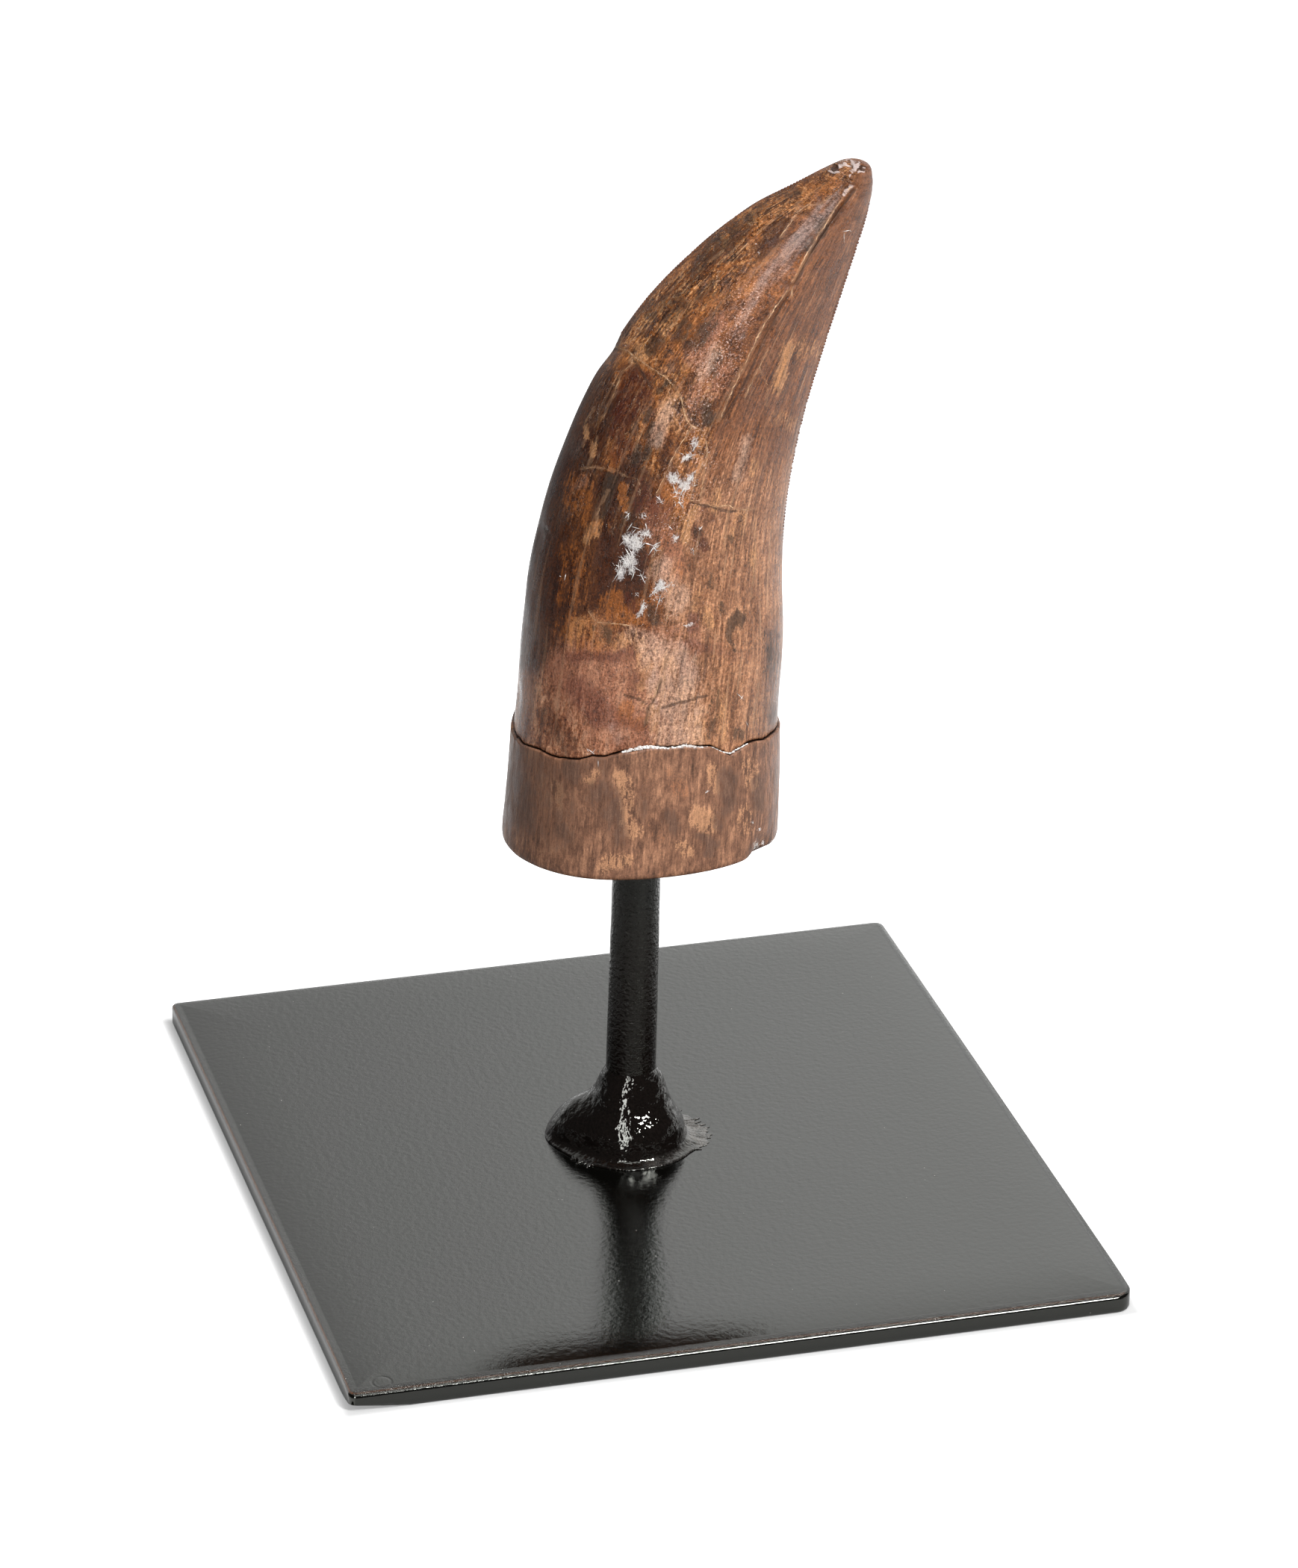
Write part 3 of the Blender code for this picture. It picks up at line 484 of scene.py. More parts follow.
def smooth_table(table, place):
    """A table's values between its rows, on smooth curves through them."""
    last = len(table) - 1
    place = np.clip(place, 0, last)
    start = np.minimum(place.astype(int), last - 1)
    t = (place - start)[..., None]
    before, here = table[np.maximum(start - 1, 0)], table[start]
    after, beyond = table[start + 1], table[np.minimum(start + 2, last)]
    leave, arrive = (after - before) / 2, (beyond - here) / 2
    step = (2 * t**3 - 3 * t**2 + 1) * here + (3 * t**2 - 2 * t**3) * after
    return step + (t**3 - 2 * t**2 + t) * leave + (t**3 - t**2) * arrive


def run_along(path):
    """Distance from a path's start to each of its points."""
    return np.concatenate(([0], np.cumsum(np.linalg.norm(np.diff(path, axis=0), axis=1))))


def point_at(path, run, at):
    """Point of a path at a distance from its start."""
    return np.stack([np.interp(at, run, column) for column in path.T], -1)


def circle(turn, radius=1.0):
    """Points of a level circle at the given angles in radians."""
    return np.stack((radius * np.cos(turn), radius * np.sin(turn), 0 * turn), -1)


def turned(points, turn):
    """Points turned about the vertical."""
    points = np.asarray(points, float)
    result = points.copy()
    cos, sin = math.cos(turn), math.sin(turn)
    result[..., 0] = cos * points[..., 0] - sin * points[..., 1]
    result[..., 1] = sin * points[..., 0] + cos * points[..., 1]
    return result


def to_plate(points):
    """Turns the tooth's frame into the plate's."""
    return turned(points, TOOTH_TURN)


def camera_axes():
    """Camera's place and its right, up and forward axes, in the plate's frame."""
    sin_e, cos_e = math.sin(CAMERA_ELEVATION), math.cos(CAMERA_ELEVATION)
    aim_x, aim_up = CAMERA_AIM
    place = np.array((-aim_x, -CAMERA_DISTANCE * cos_e - aim_up * sin_e,
                      CAMERA_DISTANCE * sin_e - aim_up * cos_e + PLATE_THICKNESS))
    axes = np.array(((1.0, 0, 0), (0, sin_e, cos_e), (0, cos_e, -sin_e)))
    facing = turned(np.vstack((place, axes)), -CAMERA_TURN)
    return facing[0], facing[1:]


def to_pixels(points):
    """Pixels of the photograph at which points of the plate's frame show."""
    place, (right, up, forward) = camera_axes()
    offset = points - place
    depth = offset @ forward
    x = PHOTO_WIDTH / 2 + FOCAL_PIXELS * (offset @ right) / depth
    y = PHOTO_HEIGHT / 2 - FOCAL_PIXELS * (offset @ up) / depth
    return np.stack((x, y), -1)


def pixel_ray(x, y):
    """Camera's place and the direction of its ray through a pixel."""
    place, (right, up, forward) = camera_axes()
    return place, (forward + right * (x - PHOTO_WIDTH / 2) / FOCAL_PIXELS
                   - up * (y - PHOTO_HEIGHT / 2) / FOCAL_PIXELS)


def plate_place(x, y):
    """Point of the plate's top, in metres, under a pixel of the photograph."""
    place, ray = pixel_ray(x, y)
    return (place + ray * (PLATE_THICKNESS - place[2]) / ray[2]) * MM


class Skin:
    """A finished surface that photographed marks are put on."""

    def __init__(self, points, faces):
        self.tree = BVHTree.FromPolygons([tuple(p) for p in points], [tuple(f) for f in faces])

    def under_pixel(self, x, y):
        """Point and normal at a pixel, or None for both where the surface doesn't show."""
        place, ray = pixel_ray(x, y)
        hit, normal, _, _ = self.tree.ray_cast(Vector(place), Vector(ray).normalized())
        return (None, None) if hit is None else (np.array(hit), np.array(normal))

    def nearest(self, point):
        hit, normal, _, _ = self.tree.find_nearest(Vector(point))
        return np.array(hit), np.array(normal)


# ---------------------------------------------------------------- meshes
def new_mesh(name, points, faces, material, smooth=True):
    """A shown mesh from points in the plate's frame."""
    mesh = bpy.data.meshes.new(name)
    mesh.from_pydata((np.asarray(points) * MM).tolist(), [], [list(map(int, f)) for f in faces])
    mesh.validate()
    mesh.materials.append(material)
    if smooth:
        mesh.shade_smooth()
    item = bpy.data.objects.new(name, mesh)
    bpy.context.scene.collection.objects.link(item)
    return item


def add_attributes(item, kind, key, values):
    """Attributes of an item's points, which its material reads by name."""
    for name, value in values.items():
        attribute = item.data.attributes.new(name, kind, "POINT")
        attribute.data.foreach_set(key, np.ravel(value).astype(np.float32))


def add_values(item, **values):
    """Attributes with one number at each point."""
    add_attributes(item, "FLOAT", "value", values)


def add_vectors(item, **values):
    """Attributes with three numbers at each point."""
    add_attributes(item, "FLOAT_VECTOR", "vector", values)


def ring_faces(rows, columns, clockwise=False):
    """Quads between successive closed rings, facing out when the rings turn as told from above."""
    i = np.arange(rows - 1)[:, None] * columns
    j = np.arange(columns)[None, :]
    k = (j + 1) % columns
    quads = np.stack((i + j, i + k, i + columns + k, i + columns + j), -1).reshape(-1, 4)
    return quads[:, ::-1] if clockwise else quads


def stand_mesh(name, rings, material):
    """A solid from rings that turn anticlockwise, with a flat face at each end."""
    rows, columns = rings.shape[:2]
    last = (rows - 1) * columns
    faces = [*ring_faces(rows, columns), range(columns)[::-1], range(last, last + columns)]
    return new_mesh(name, rings.reshape(-1, 3), faces, material)


class Scraps:
    """Many small meshes gathered into one piece of the tooth."""

    def __init__(self):
        self.points, self.faces = [], []

    def add(self, points, faces):
        base = len(self.points)
        self.points.extend(points)
        self.faces.extend([base + i for i in face] for face in faces)

    def show(self, name, material, smooth=True):
        item = new_mesh(name, self.points, self.faces, material, smooth)
        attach(item, "root")
        return item


# ---------------------------------------------------------------- marks on the skin
STROKE_FADE = (0.40, 1.65)  # in half widths, where a stroke starts to fade and where it ends
RELIEF_FADE = (0.1, 1.5)
WARP_ALONG, WARP_SIZE = 0.35, 1.6  # stretch along the tooth, and size, of the noise that moves strokes


def path_distance(pixels, path):
    """Distance in pixels of each point from a path of straight stretches."""
    nearest = np.full(len(pixels), np.inf)
    for start, end in itertools.pairwise(np.array(path, float)):
        along = end - start
        share = np.clip(((pixels - start) @ along) / max(along @ along, 1e-9), 0, 1)
        away = np.linalg.norm(pixels - start - share[..., None] * along, axis=-1)
        nearest = np.minimum(nearest, away)
    return nearest


def painted(pixels, strokes):
    """Strength of a group of strokes at each pixel: full on the path, fading past the half width."""
    total = np.zeros(len(pixels))
    for half_width, strength, *path in strokes:
        field = strength * (1 - smooth_step(*STROKE_FADE, path_distance(pixels, path) / half_width))
        total = total + field * (1 - total)
    return total


def relief(pixels):
    """Height of the low relief at each pixel."""
    height = np.zeros(len(pixels))
    for half_width, rise, *path in RELIEF:
        height += rise * (1 - smooth_step(*RELIEF_FADE, path_distance(pixels, path) / half_width))
    return height


def warped(pixels, flows, amount, seed):
    """Pixels moved a little by noise, so that what is drawn there gets an uneven outline."""
    along = flows * np.array((1, 1, WARP_ALONG))
    moved = pixels.copy()
    for axis in (0, 1):
        moved[:, axis] += amount[axis] * rough_noise(along, WARP_SIZE, 3, seed + axis)
    return moved


# ---------------------------------------------------------------- tooth skin
STRIATION_ACROSS, STRIATION_DEEP = 11.0, -7.0
CROWN_ANGLES, CROWN_ROWS = (136, 60), 430  # columns on the near and on the far half, rows
ROOT_ANGLES, ROOT_ROWS = (150, 80), 90
TIP_ROWS_FROM = 10.5  # section above which the rows are closer together
ROW_SHARE, TIP_ROW_SHARE = 2.0, 3.0  # how far rows also follow the sections, and more so at the tip
TIP_FADE = 2.5  # sections below the tip over which its unevenness fades
CROWN_LUMPS, CROWN_GRAIN = (0.10, 7.0), (0.035, 1.3)  # height and size
ROOT_LUMPS, ROOT_GRAIN = (0.07, 5.0), (0.03, 0.9)
CROWN_WARP, LINE_WARP, ROOT_WARP = (7.0, 10.0), (2.5, 2.5), (8.0, 10.0)  # in pixels
CRUST_WIDTH, GAP_WIDTH = 1.7, 1.8  # half widths in pixels of the paint beside cracks
FAR_SIDE_SHIFT = (6.0, 31.0)  # in pixels
NEAR_SIDE_ONLY = ("chalk",)


def striations(place, angle):
    """Coordinates that stay constant across and deep along a striation, which narrows with the tooth."""
    place, turn = np.broadcast_arrays(np.asarray(place, float), np.radians(angle))
    return np.stack((STRIATION_ACROSS * np.cos(turn), STRIATION_DEEP * np.sin(turn),
                     SECTION_RUN * place), -1)


def tooth_surface(place, angle, swell=1.0):
    """Skin points in the tooth's frame, and each point's flow: across, deep and along the tooth."""
    place, angle = np.broadcast_arrays(np.asarray(place, float), np.radians(angle))
    values = np.moveaxis(smooth_table(SECTIONS, place), -1, 0)
    mesial_x, mesial_z, distal_x, distal_z, depth, ridge, mesial_keen, distal_keen, full = values
    near, distal = np.sin(angle) >= 0, np.cos(angle) >= 0
    ridge = np.where(near, ridge, BACK_SUMMIT)
    reach = np.abs(np.cos(angle))
    chord = np.where(distal, ridge + reach * (1 - ridge), ridge - reach * (1 + ridge))
    power = np.where(distal & near, full, 2.0)
    bulge = np.clip(1 - reach**power, 0, 1) ** np.where(distal, distal_keen, mesial_keen)
    y = np.where(near, -depth, BACK_DEPTH * depth) * bulge
    groove_depth, groove_place, groove_width = GROOVE
    first, last = GROOVE_SPAN
    inside = smooth_step(first, first + 1, place) * (1 - smooth_step(last - 1, last, place)) * near
    groove = np.exp(-(((chord - ridge - groove_place) / groove_width) ** 2))
    y = y + groove_depth * groove * inside
    half = np.hypot(distal_x - mesial_x, distal_z - mesial_z) / 2
    x = (mesial_x + distal_x) / 2 + swell * chord * (distal_x - mesial_x) / 2
    z = (mesial_z + distal_z) / 2 + chord * (distal_z - mesial_z) / 2
    points = np.stack((x, swell * y, z), -1)
    return points, np.stack((chord * half, y, SECTION_RUN * place), -1)


def tooth_axis(place):
    """Middle of the tooth at a section."""
    values = smooth_table(SECTIONS, np.asarray(place, float))
    x, z = (values[..., 0] + values[..., 2]) / 2, (values[..., 1] + values[..., 3]) / 2
    return np.stack((x, np.zeros_like(x), z), -1)


def break_height(angle):
    height = np.interp(angle, *np.array(BREAK, float).T)
    ring = circle(np.radians(angle), BREAK_RADIUS)
    return height + BREAK_RAGGED * rough_noise(ring, 1.6, 3, seed=5)


def place_at_height(height, angle):
    """Section at which the skin reaches a height, for each angle."""
    places = np.linspace(0, 4, 161)
    heights = tooth_surface(places[:, None], angle[None, :])[0][..., 2]
    return np.array([np.interp(h, column, places) for h, column in zip(height, heights.T)])


def dent(points, centre, axis, radius, depth):
    weight = np.exp(-(np.linalg.norm(points - centre, axis=-1) / radius) ** 2)
    inward = (axis - centre) / np.linalg.norm(axis - centre)
    return points + depth * weight[..., None] * inward


def fine_angles(front, back):
    return np.concatenate((np.linspace(0, 180, front, endpoint=False),
                           np.linspace(180, 360, back, endpoint=False)))


def outward_from(points, axis):
    offset = points - axis
    return offset / np.maximum(np.linalg.norm(offset, axis=-1, keepdims=True), 1e-6)


def uneven(flow, lumps, grain, along, seeds):
    """Unevenness of the skin: round lumps, and a grain that is stretched along the tooth."""
    (lump_height, lump_size), (grain_height, grain_size) = lumps, grain
    return (lump_height * rough_noise(flow, lump_size, 2, seeds[0])
            + grain_height * rough_noise(flow * (1, 1, along), grain_size, 3, seeds[1]))


def crown_rows(lowest, count):
    """Places of the rows, spaced evenly along the mesial edge and closer at the tip."""
    places = np.linspace(0, LAST_SECTION, 600)
    run = run_along(smooth_table(SECTIONS, places)[:, :2])
    run = run + ROW_SHARE * places + TIP_ROW_SHARE * np.maximum(places - TIP_ROWS_FROM, 0)
    share = np.linspace(0, 1, count + 1)[:-1]
    rows = np.empty((count, len(lowest)))
    for i, low in enumerate(lowest):
        start = np.interp(low, places, run)
        rows[:, i] = np.interp(start + share * (run[-1] - start), run, places)
    return rows


def tooth_pixels(points):
    """Photograph's pixel of each point; the far side takes its mirror image's, shifted a little."""
    far = points[:, 1] > 0
    pixels = to_pixels(to_plate(np.where(far[:, None], points * (1, -1, 1), points)))
    pixels[far] += FAR_SIDE_SHIFT
    return pixels


def break_rings(edge, outward, rise):
    """Rings inside the broken end, from its edge inwards; rise is 1 in the crown, -1 in the root."""
    return [edge - inset * outward + np.array((0, 0, rise * depth)) for inset, depth in BREAK_RINGS]


def with_ends(rings, low, high):
    """The rings' values as one list, followed by those of the two ends' middles."""
    return np.vstack((rings.reshape(-1, 3), low, high))


def tooth_mesh(name, rings, broken, material):
    """Closed mesh from clockwise rings; broken is 1 for each ring inside the break, else 0."""
    rows, columns = rings.shape[:2]
    points = with_ends(rings, rings[0].mean(axis=0), rings[-1].mean(axis=0))
    low_middle, high_middle = len(points) - 2, len(points) - 1
    last = low_middle - columns
    faces = ring_faces(rows, columns, clockwise=True).tolist()
    for i in range(columns):
        after = (i + 1) % columns
        faces += [(i, after, low_middle), (last + after, last + i, high_middle)]
    item = new_mesh(name, to_plate(points), faces, material)
    add_values(item, broken=np.append(np.repeat(broken, columns), (broken[0], broken[-1])))
    return item, points, Skin(to_plate(points), faces)


def paint_strokes(item, points, pixels, groups):
    for group, strokes in groups.items():
        strength = painted(pixels, strokes)
        if group in NEAR_SIDE_ONLY:
            strength = strength * (points[:, 1] < 0)
        add_values(item, **{group: strength})


def distal_face(pixels):
    """1 on the smooth face behind the ridge line, 0 on the mottled one."""
    ridge_x, ridge_y = np.array(RIDGE_LINE, float).T
    line = np.interp(pixels[:, 1], ridge_y, ridge_x)
    softness = np.interp(pixels[:, 1], *RIDGE_SOFTNESS)
    return smooth_step(-1, 1, (pixels[:, 0] - line) / softness)


def make_crown(material):
    angles = fine_angles(*CROWN_ANGLES)
    lowest = place_at_height(break_height(angles) + SEAM / 2, angles)
    places = crown_rows(lowest, CROWN_ROWS)
    skin, flow = tooth_surface(places, angles[None, :])
    for place, angle, radius, depth in CROWN_DENTS:
        centre = tooth_surface(place, angle)[0]
        skin = dent(skin, centre, tooth_axis(np.array(place)), radius, depth)
    outward = outward_from(skin, tooth_axis(places))
    swell = uneven(flow, CROWN_LUMPS, CROWN_GRAIN, 0.25, (3, 9))
    fade = np.minimum(1, (LAST_SECTION - places) / TIP_FADE)
    marks = relief(to_pixels(to_plate(skin.reshape(-1, 3)))).reshape(places.shape)
    skin = skin + (swell * fade + marks * (skin[..., 1] < 0))[..., None] * outward
    skin[0] -= BREAK_EDGE * outward[0]
    inside = break_rings(skin[0], outward[0], 1)[::-1]
    broken = np.repeat((1.0, 0.0), (len(inside), CROWN_ROWS))
    crown, points, surface = tooth_mesh(
        "crown_surface", np.concatenate((inside, skin)), broken, material)

    tip = (0, 0, SECTION_RUN * LAST_SECTION)
    flows, ways = (
        with_ends(np.concatenate((rows[:1].repeat(len(inside), axis=0), rows)), (0, 0, 0), tip)
        for rows in (flow, striations(places, angles[None, :])))
    add_vectors(crown, flow=flows, way=ways)
    pixels = tooth_pixels(points)
    drawn = warped(pixels, flows, CROWN_WARP, 21)
    paint_strokes(crown, points, drawn, STROKES)
    beside = warped(pixels, flows, LINE_WARP, 31)
    # paint beside the lines; along the ridge the cream is partly painted highlight, and the dark is
    # painted shade
    for group, half_width, lines in (("crust_and_ridge_light", CRUST_WIDTH, CREAM_LINES), ("gap", GAP_WIDTH, DARK_LINES)):
        strokes = [(half_width, 1.0, *path) for _, _, *path in lines]
        paint_strokes(crown, points, beside, {group: strokes})
    add_values(crown, distal_face=distal_face(drawn), lower=smooth_step(*LOWER_SPAN, drawn[:, 1]),
               tan_end=smooth_step(*TAN_SPAN, drawn[:, 1]))
    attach(crown, "root")
    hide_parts("tooth_crown")
    return surface


def make_root(material):
    angles = fine_angles(*ROOT_ANGLES)
    top = break_height(angles) - SEAM / 2
    low = ROOT_BOTTOM + ROOT_RIM[-1][1]
    levels = [(inset, np.full(len(angles), ROOT_BOTTOM + height)) for inset, height in ROOT_RIM]
    levels += [(0.0, low + share * (top - low)) for share in np.linspace(0, 1, ROOT_ROWS)[1:]]
    rings, flows = [], []
    for inset, height in levels:
        place = place_at_height(height, angles)
        ring, flow = tooth_surface(place, angles, ROOT_STEP)
        rings.append(ring - inset * outward_from(ring, tooth_axis(place)))
        flows.append(flow)
    skin, flow = np.array(rings), np.array(flows)
    for angle, radius, depth in ROOT_CHIPS:
        centre = tooth_surface(0.0, angle, ROOT_STEP)[0]
        skin[:-1] = dent(skin[:-1], centre, tooth_axis(np.array(1.0)), radius, depth)
    skin[0, :, 2] = ROOT_BOTTOM
    outward = outward_from(skin, tooth_axis(np.clip((skin[..., 2] - ROOT_BOTTOM) / SECTION_RUN, 0, 2)))
    swell = uneven(flow, ROOT_LUMPS, ROOT_GRAIN, 0.3, (31, 33))
    skin[2:] += swell[2:, :, None] * outward[2:]
    skin[-1] -= BREAK_EDGE * outward[-1]
    inside = break_rings(skin[-1], outward[-1], -1)
    broken = np.repeat((0.0, 1.0), (len(skin), len(inside)))
    root, points, surface = tooth_mesh(
        "root_surface", np.concatenate((skin, inside)), broken, material)

    flows = np.concatenate((flow, flow[-1:].repeat(len(inside), axis=0)))
    flows = with_ends(flows, (0, 0, 0), (0, 0, ROOT_FLOW_TOP))
    add_vectors(root, flow=flows)
    drawn = warped(tooth_pixels(points), flows, ROOT_WARP, 41)
    paint_strokes(root, points, drawn, ROOT_STROKES)
    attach(root, "root")
    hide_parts("tooth_root")
    return surface


# ---------------------------------------------------------------- lines, slivers, serrations, glue
LINE_WANDERS = ((0.8, 6), (0.5, 2))  # reach in pixels, and points from one change to the next
WEAR_STEP, DETAIL_STEP = 9, 3  # points from one change to the next
WEAR_DETAIL, WEAR_FROM, WORN_THINNING = 0.25, 0.45, 0.85
LINE_WIDTH, LINE_UNEVEN = 0.42, 0.32  # shares of the half width
LINE_END = 0.08  # half width in pixels
LINE_CREST = 1.8  # how many times higher a line is in its middle
NEEDLE_THICKEST, NEEDLE_HEIGHT = 0.35, 1.2  # share of the length, and height in radii
NEEDLE_FOOT, NEEDLE_RISES = 0.02, (0.02, 0.10)
SLIVER_SPREAD, SLIVER_LEAN, SLIVER_FOOT = 0.5, 1.1, 0.005
SLIVER_LENGTHS, SLIVER_POWER, SLIVER_STRETCH = (0.15, 1.0), 1.8, 1.2
SLIVER_RISES, SLIVER_RADII = (0.0, 0.12), (0.012, 0.042)
BLOB_TWIST = 0.4  # turn of each ring past the one below it
GLUE_PLACE = (0.5, 0.9)  # below the seam's middle, and its spread
GLUE_SIZES, GLUE_LENGTHS, GLUE_FLATNESS = (0.05, 0.17), (1, 2.2), 0.7
GLUE_SINK, GLUE_ROUGHNESS = 0.02, 0.18
DENTICLE_HEIGHTS, STUMP_HEIGHT = (0.75, 1.08), 0.3
DENTICLE_RUN_OUT = 12  # denticles at each end of a row over which it fades
DENTICLE_SHAPE = (0.47, 0.85, 0.25, 0.55)  # half length, thickness, least height, height above it
DENTICLE_SINK, DENTICLE_ROUGHNESS = 0.25, 0.03


def wander(count, step, rng):
    """Smooth random run from about -1 to 1 that changes every few points."""
    knots = rng.uniform(-1, 1, count // step + 3)
    return np.interp(np.arange(count) / step, np.arange(len(knots)), knots)


def ribbon(skin, path, half_width, breaks, rng, lift):
    """Thin strip along a path of pixels: points, faces and how worn each point is."""
    path = np.array(path, float)
    run = run_along(path)
    count = max(int(run[-1] / LINE_STEP), 4)
    line = point_at(path, run, np.linspace(0, run[-1], count))
    for axis in (0, 1):
        line[:, axis] += sum(reach * wander(count, step, rng) for reach, step in LINE_WANDERS)
    worn = (wander(count, WEAR_STEP, rng) + 1) / 2 + WEAR_DETAIL * wander(count, DETAIL_STEP, rng)
    worn = np.clip(worn + breaks - WEAR_FROM, 0, 1)
    width = half_width * (LINE_WIDTH + LINE_UNEVEN * wander(count, DETAIL_STEP, rng))
    width = width * (1 - WORN_THINNING * worn)
    width[0] = width[-1] = LINE_END
    points, faces, wear, previous = [], [], [], None
    for i, middle in enumerate(line):
        ahead = line[min(i + 1, count - 1)] - line[max(i - 1, 0)]
        across = np.array((-ahead[1], ahead[0])) / max(np.linalg.norm(ahead), 1e-6) * width[i]
        hits = [skin.under_pixel(*(middle + side * across)) for side in (-1, 0, 1)]
        if worn[i] > WORN_AWAY or any(hit is None for hit, _ in hits):
            previous = None
            continue
        base = len(points)
        rises = (lift, LINE_CREST * lift, lift)
        points += [hit + normal * rise for (hit, normal), rise in zip(hits, rises)]
        wear += [worn[i]] * 3
        if previous is not None:
            faces += [(base + side, previous + side, previous + side + 1, base + side + 1)
                      for side in (0, 1)]
        previous = base
    return points, faces, wear


def make_lines(name, skin, lines, material, seed, lift):
    """Cracks, and the lines on the ridge's crest and in its groove, as thin strips, open or filled."""
    rng = np.random.default_rng(seed)
    scraps, wear = Scraps(), []
    for half_width, breaks, *path in lines:
        points, faces, new_wear = ribbon(skin, path, half_width, breaks, rng, lift)
        scraps.add(points, faces)
        wear += new_wear
    add_values(scraps.show(name, material), wear=wear)


def needle(start, end, normal, radius):
    """A thin four-sided splinter, thickest a third of the way along."""
    along = end - start
    side = np.cross(along, normal)
    side = side / max(np.linalg.norm(side), 1e-9)
    middle = start + along * NEEDLE_THICKEST
    points = [start, middle + side * radius, middle + normal * radius * NEEDLE_HEIGHT,
              middle - side * radius, end]
    faces = [(0, 2, 1), (0, 3, 2), (1, 2, 4), (2, 3, 4), (0, 1, 3), (3, 1, 4)]
    return points, faces


def skin_at(x, y, crown_skin, root_skin):
    """Skin that a pixel lies on: the crown above the break, which is higher at the left."""
    in_left_part = x < BREAK_LEFT_PIXEL[0] and y > BREAK_LEFT_PIXEL[1]
    return crown_skin if y < BREAK_PIXEL and not in_left_part else root_skin


def make_slivers(crown_skin, root_skin, material):
    """Splinters of white mineral: single needles, and scattered clusters of short ones."""
    rng = np.random.default_rng(77)
    scraps = Scraps()
    for half_width, start, end in NEEDLES:
        skin = skin_at(*start, crown_skin, root_skin)
        (first, normal), (last, out) = skin.under_pixel(*start), skin.under_pixel(*end)
        if first is not None and last is not None:
            rise = rng.uniform(*NEEDLE_RISES)
            radius = half_width * PIXEL_MM
            scraps.add(*needle(first + normal * NEEDLE_FOOT, last + out * rise, normal, radius))
    for (x, y), (half_x, half_y), tilt, count, longest in SLIVER_CLUSTERS:
        skin = skin_at(x, y, crown_skin, root_skin)
        cos, sin = math.cos(math.radians(tilt)), math.sin(math.radians(tilt))
        for _ in range(count):
            u, v = rng.normal(0, SLIVER_SPREAD, 2) * (half_x, half_y)
            hit, normal = skin.under_pixel(x + u * cos + v * sin, y + v * cos - u * sin)
            if hit is None:
                continue
            direction = rng.normal(0, 1, 3) + SLIVER_LEAN * rng.choice((-1, 1)) * LEAN_OF_NEEDLES
            direction -= normal * (direction @ normal)
            direction /= np.linalg.norm(direction)
            length = SLIVER_STRETCH * longest * rng.uniform(*SLIVER_LENGTHS) ** SLIVER_POWER
            rise = rng.uniform(*SLIVER_RISES)
            nearest, out = skin.nearest(hit + direction * length + normal * (rise * length))
            start, end = hit + normal * SLIVER_FOOT, nearest + out * rise * length
            scraps.add(*needle(start, end, normal, rng.uniform(*SLIVER_RADII)))
    scraps.show("mineral_slivers", material, smooth=False)


def blob(centre, axes, sizes, rng, roughness):
    """A small lumpy nugget: level rings between two poles."""
    points = [centre - axes[2] * sizes[2]]
    for ring in range(1, BLOB_RINGS + 1):
        polar = math.pi * ring / (BLOB_RINGS + 1)
        for turn in np.linspace(0, 2 * math.pi, BLOB_SIDES, endpoint=False) + BLOB_TWIST * ring:
            lump = 1 + roughness * rng.normal()
            points.append(centre + lump * (
                axes[0] * sizes[0] * math.sin(polar) * math.cos(turn)
                + axes[1] * sizes[1] * math.sin(polar) * math.sin(turn)
                - axes[2] * sizes[2] * math.cos(polar)))
    pole = len(points)
    points.append(centre + axes[2] * sizes[2])
    faces = (ring_faces(BLOB_RINGS, BLOB_SIDES) + 1).tolist()
    for i in range(BLOB_SIDES):
        after = (i + 1) % BLOB_SIDES
        faces += [(0, 1 + after, 1 + i), (pole - BLOB_SIDES + i, pole - BLOB_SIDES + after, pole)]
    return points, faces


def seam_point(x, y, crown_skin, root_skin):
    """Where the break's two outer edges meet at a pixel of the seam."""
    above, normal = crown_skin.under_pixel(x, y - SEAM_REACH)
    below, _ = root_skin.under_pixel(x, y + SEAM_REACH)
    if above is None or below is None:
        return None, None
    return (above + below) / 2, normal


def make_glue(crown_skin, root_skin, material):
    """White crumbs of glue along the middle of the break."""
    rng = np.random.default_rng(11)
    path = np.array(GLUE_SPAN, float)
    run = run_along(path)
    scraps = Scraps()
    for _ in range(GLUE_CRUMBS):
        x, y = point_at(path, run, rng.random() * run[-1])
        thick = sum((extra * math.exp(-((x - middle) / spread) ** 2)
                     for middle, spread, extra in GLUE_HEAPS), GLUE_THICKNESS)
        hit, normal = seam_point(x, y + rng.normal(*GLUE_PLACE) * thick, crown_skin, root_skin)
        if hit is None:
            continue
        side = np.cross(normal, (0, 0, 1.0))
        side /= np.linalg.norm(side)
        size = rng.uniform(*GLUE_SIZES) * math.sqrt(thick)
        sizes = (size * rng.uniform(*GLUE_LENGTHS), size, size * GLUE_FLATNESS)
        axes = (side, np.cross(side, normal), normal)
        scraps.add(*blob(hit - normal * GLUE_SINK, axes, sizes, rng, GLUE_ROUGHNESS))
    scraps.show("glue_line", material)


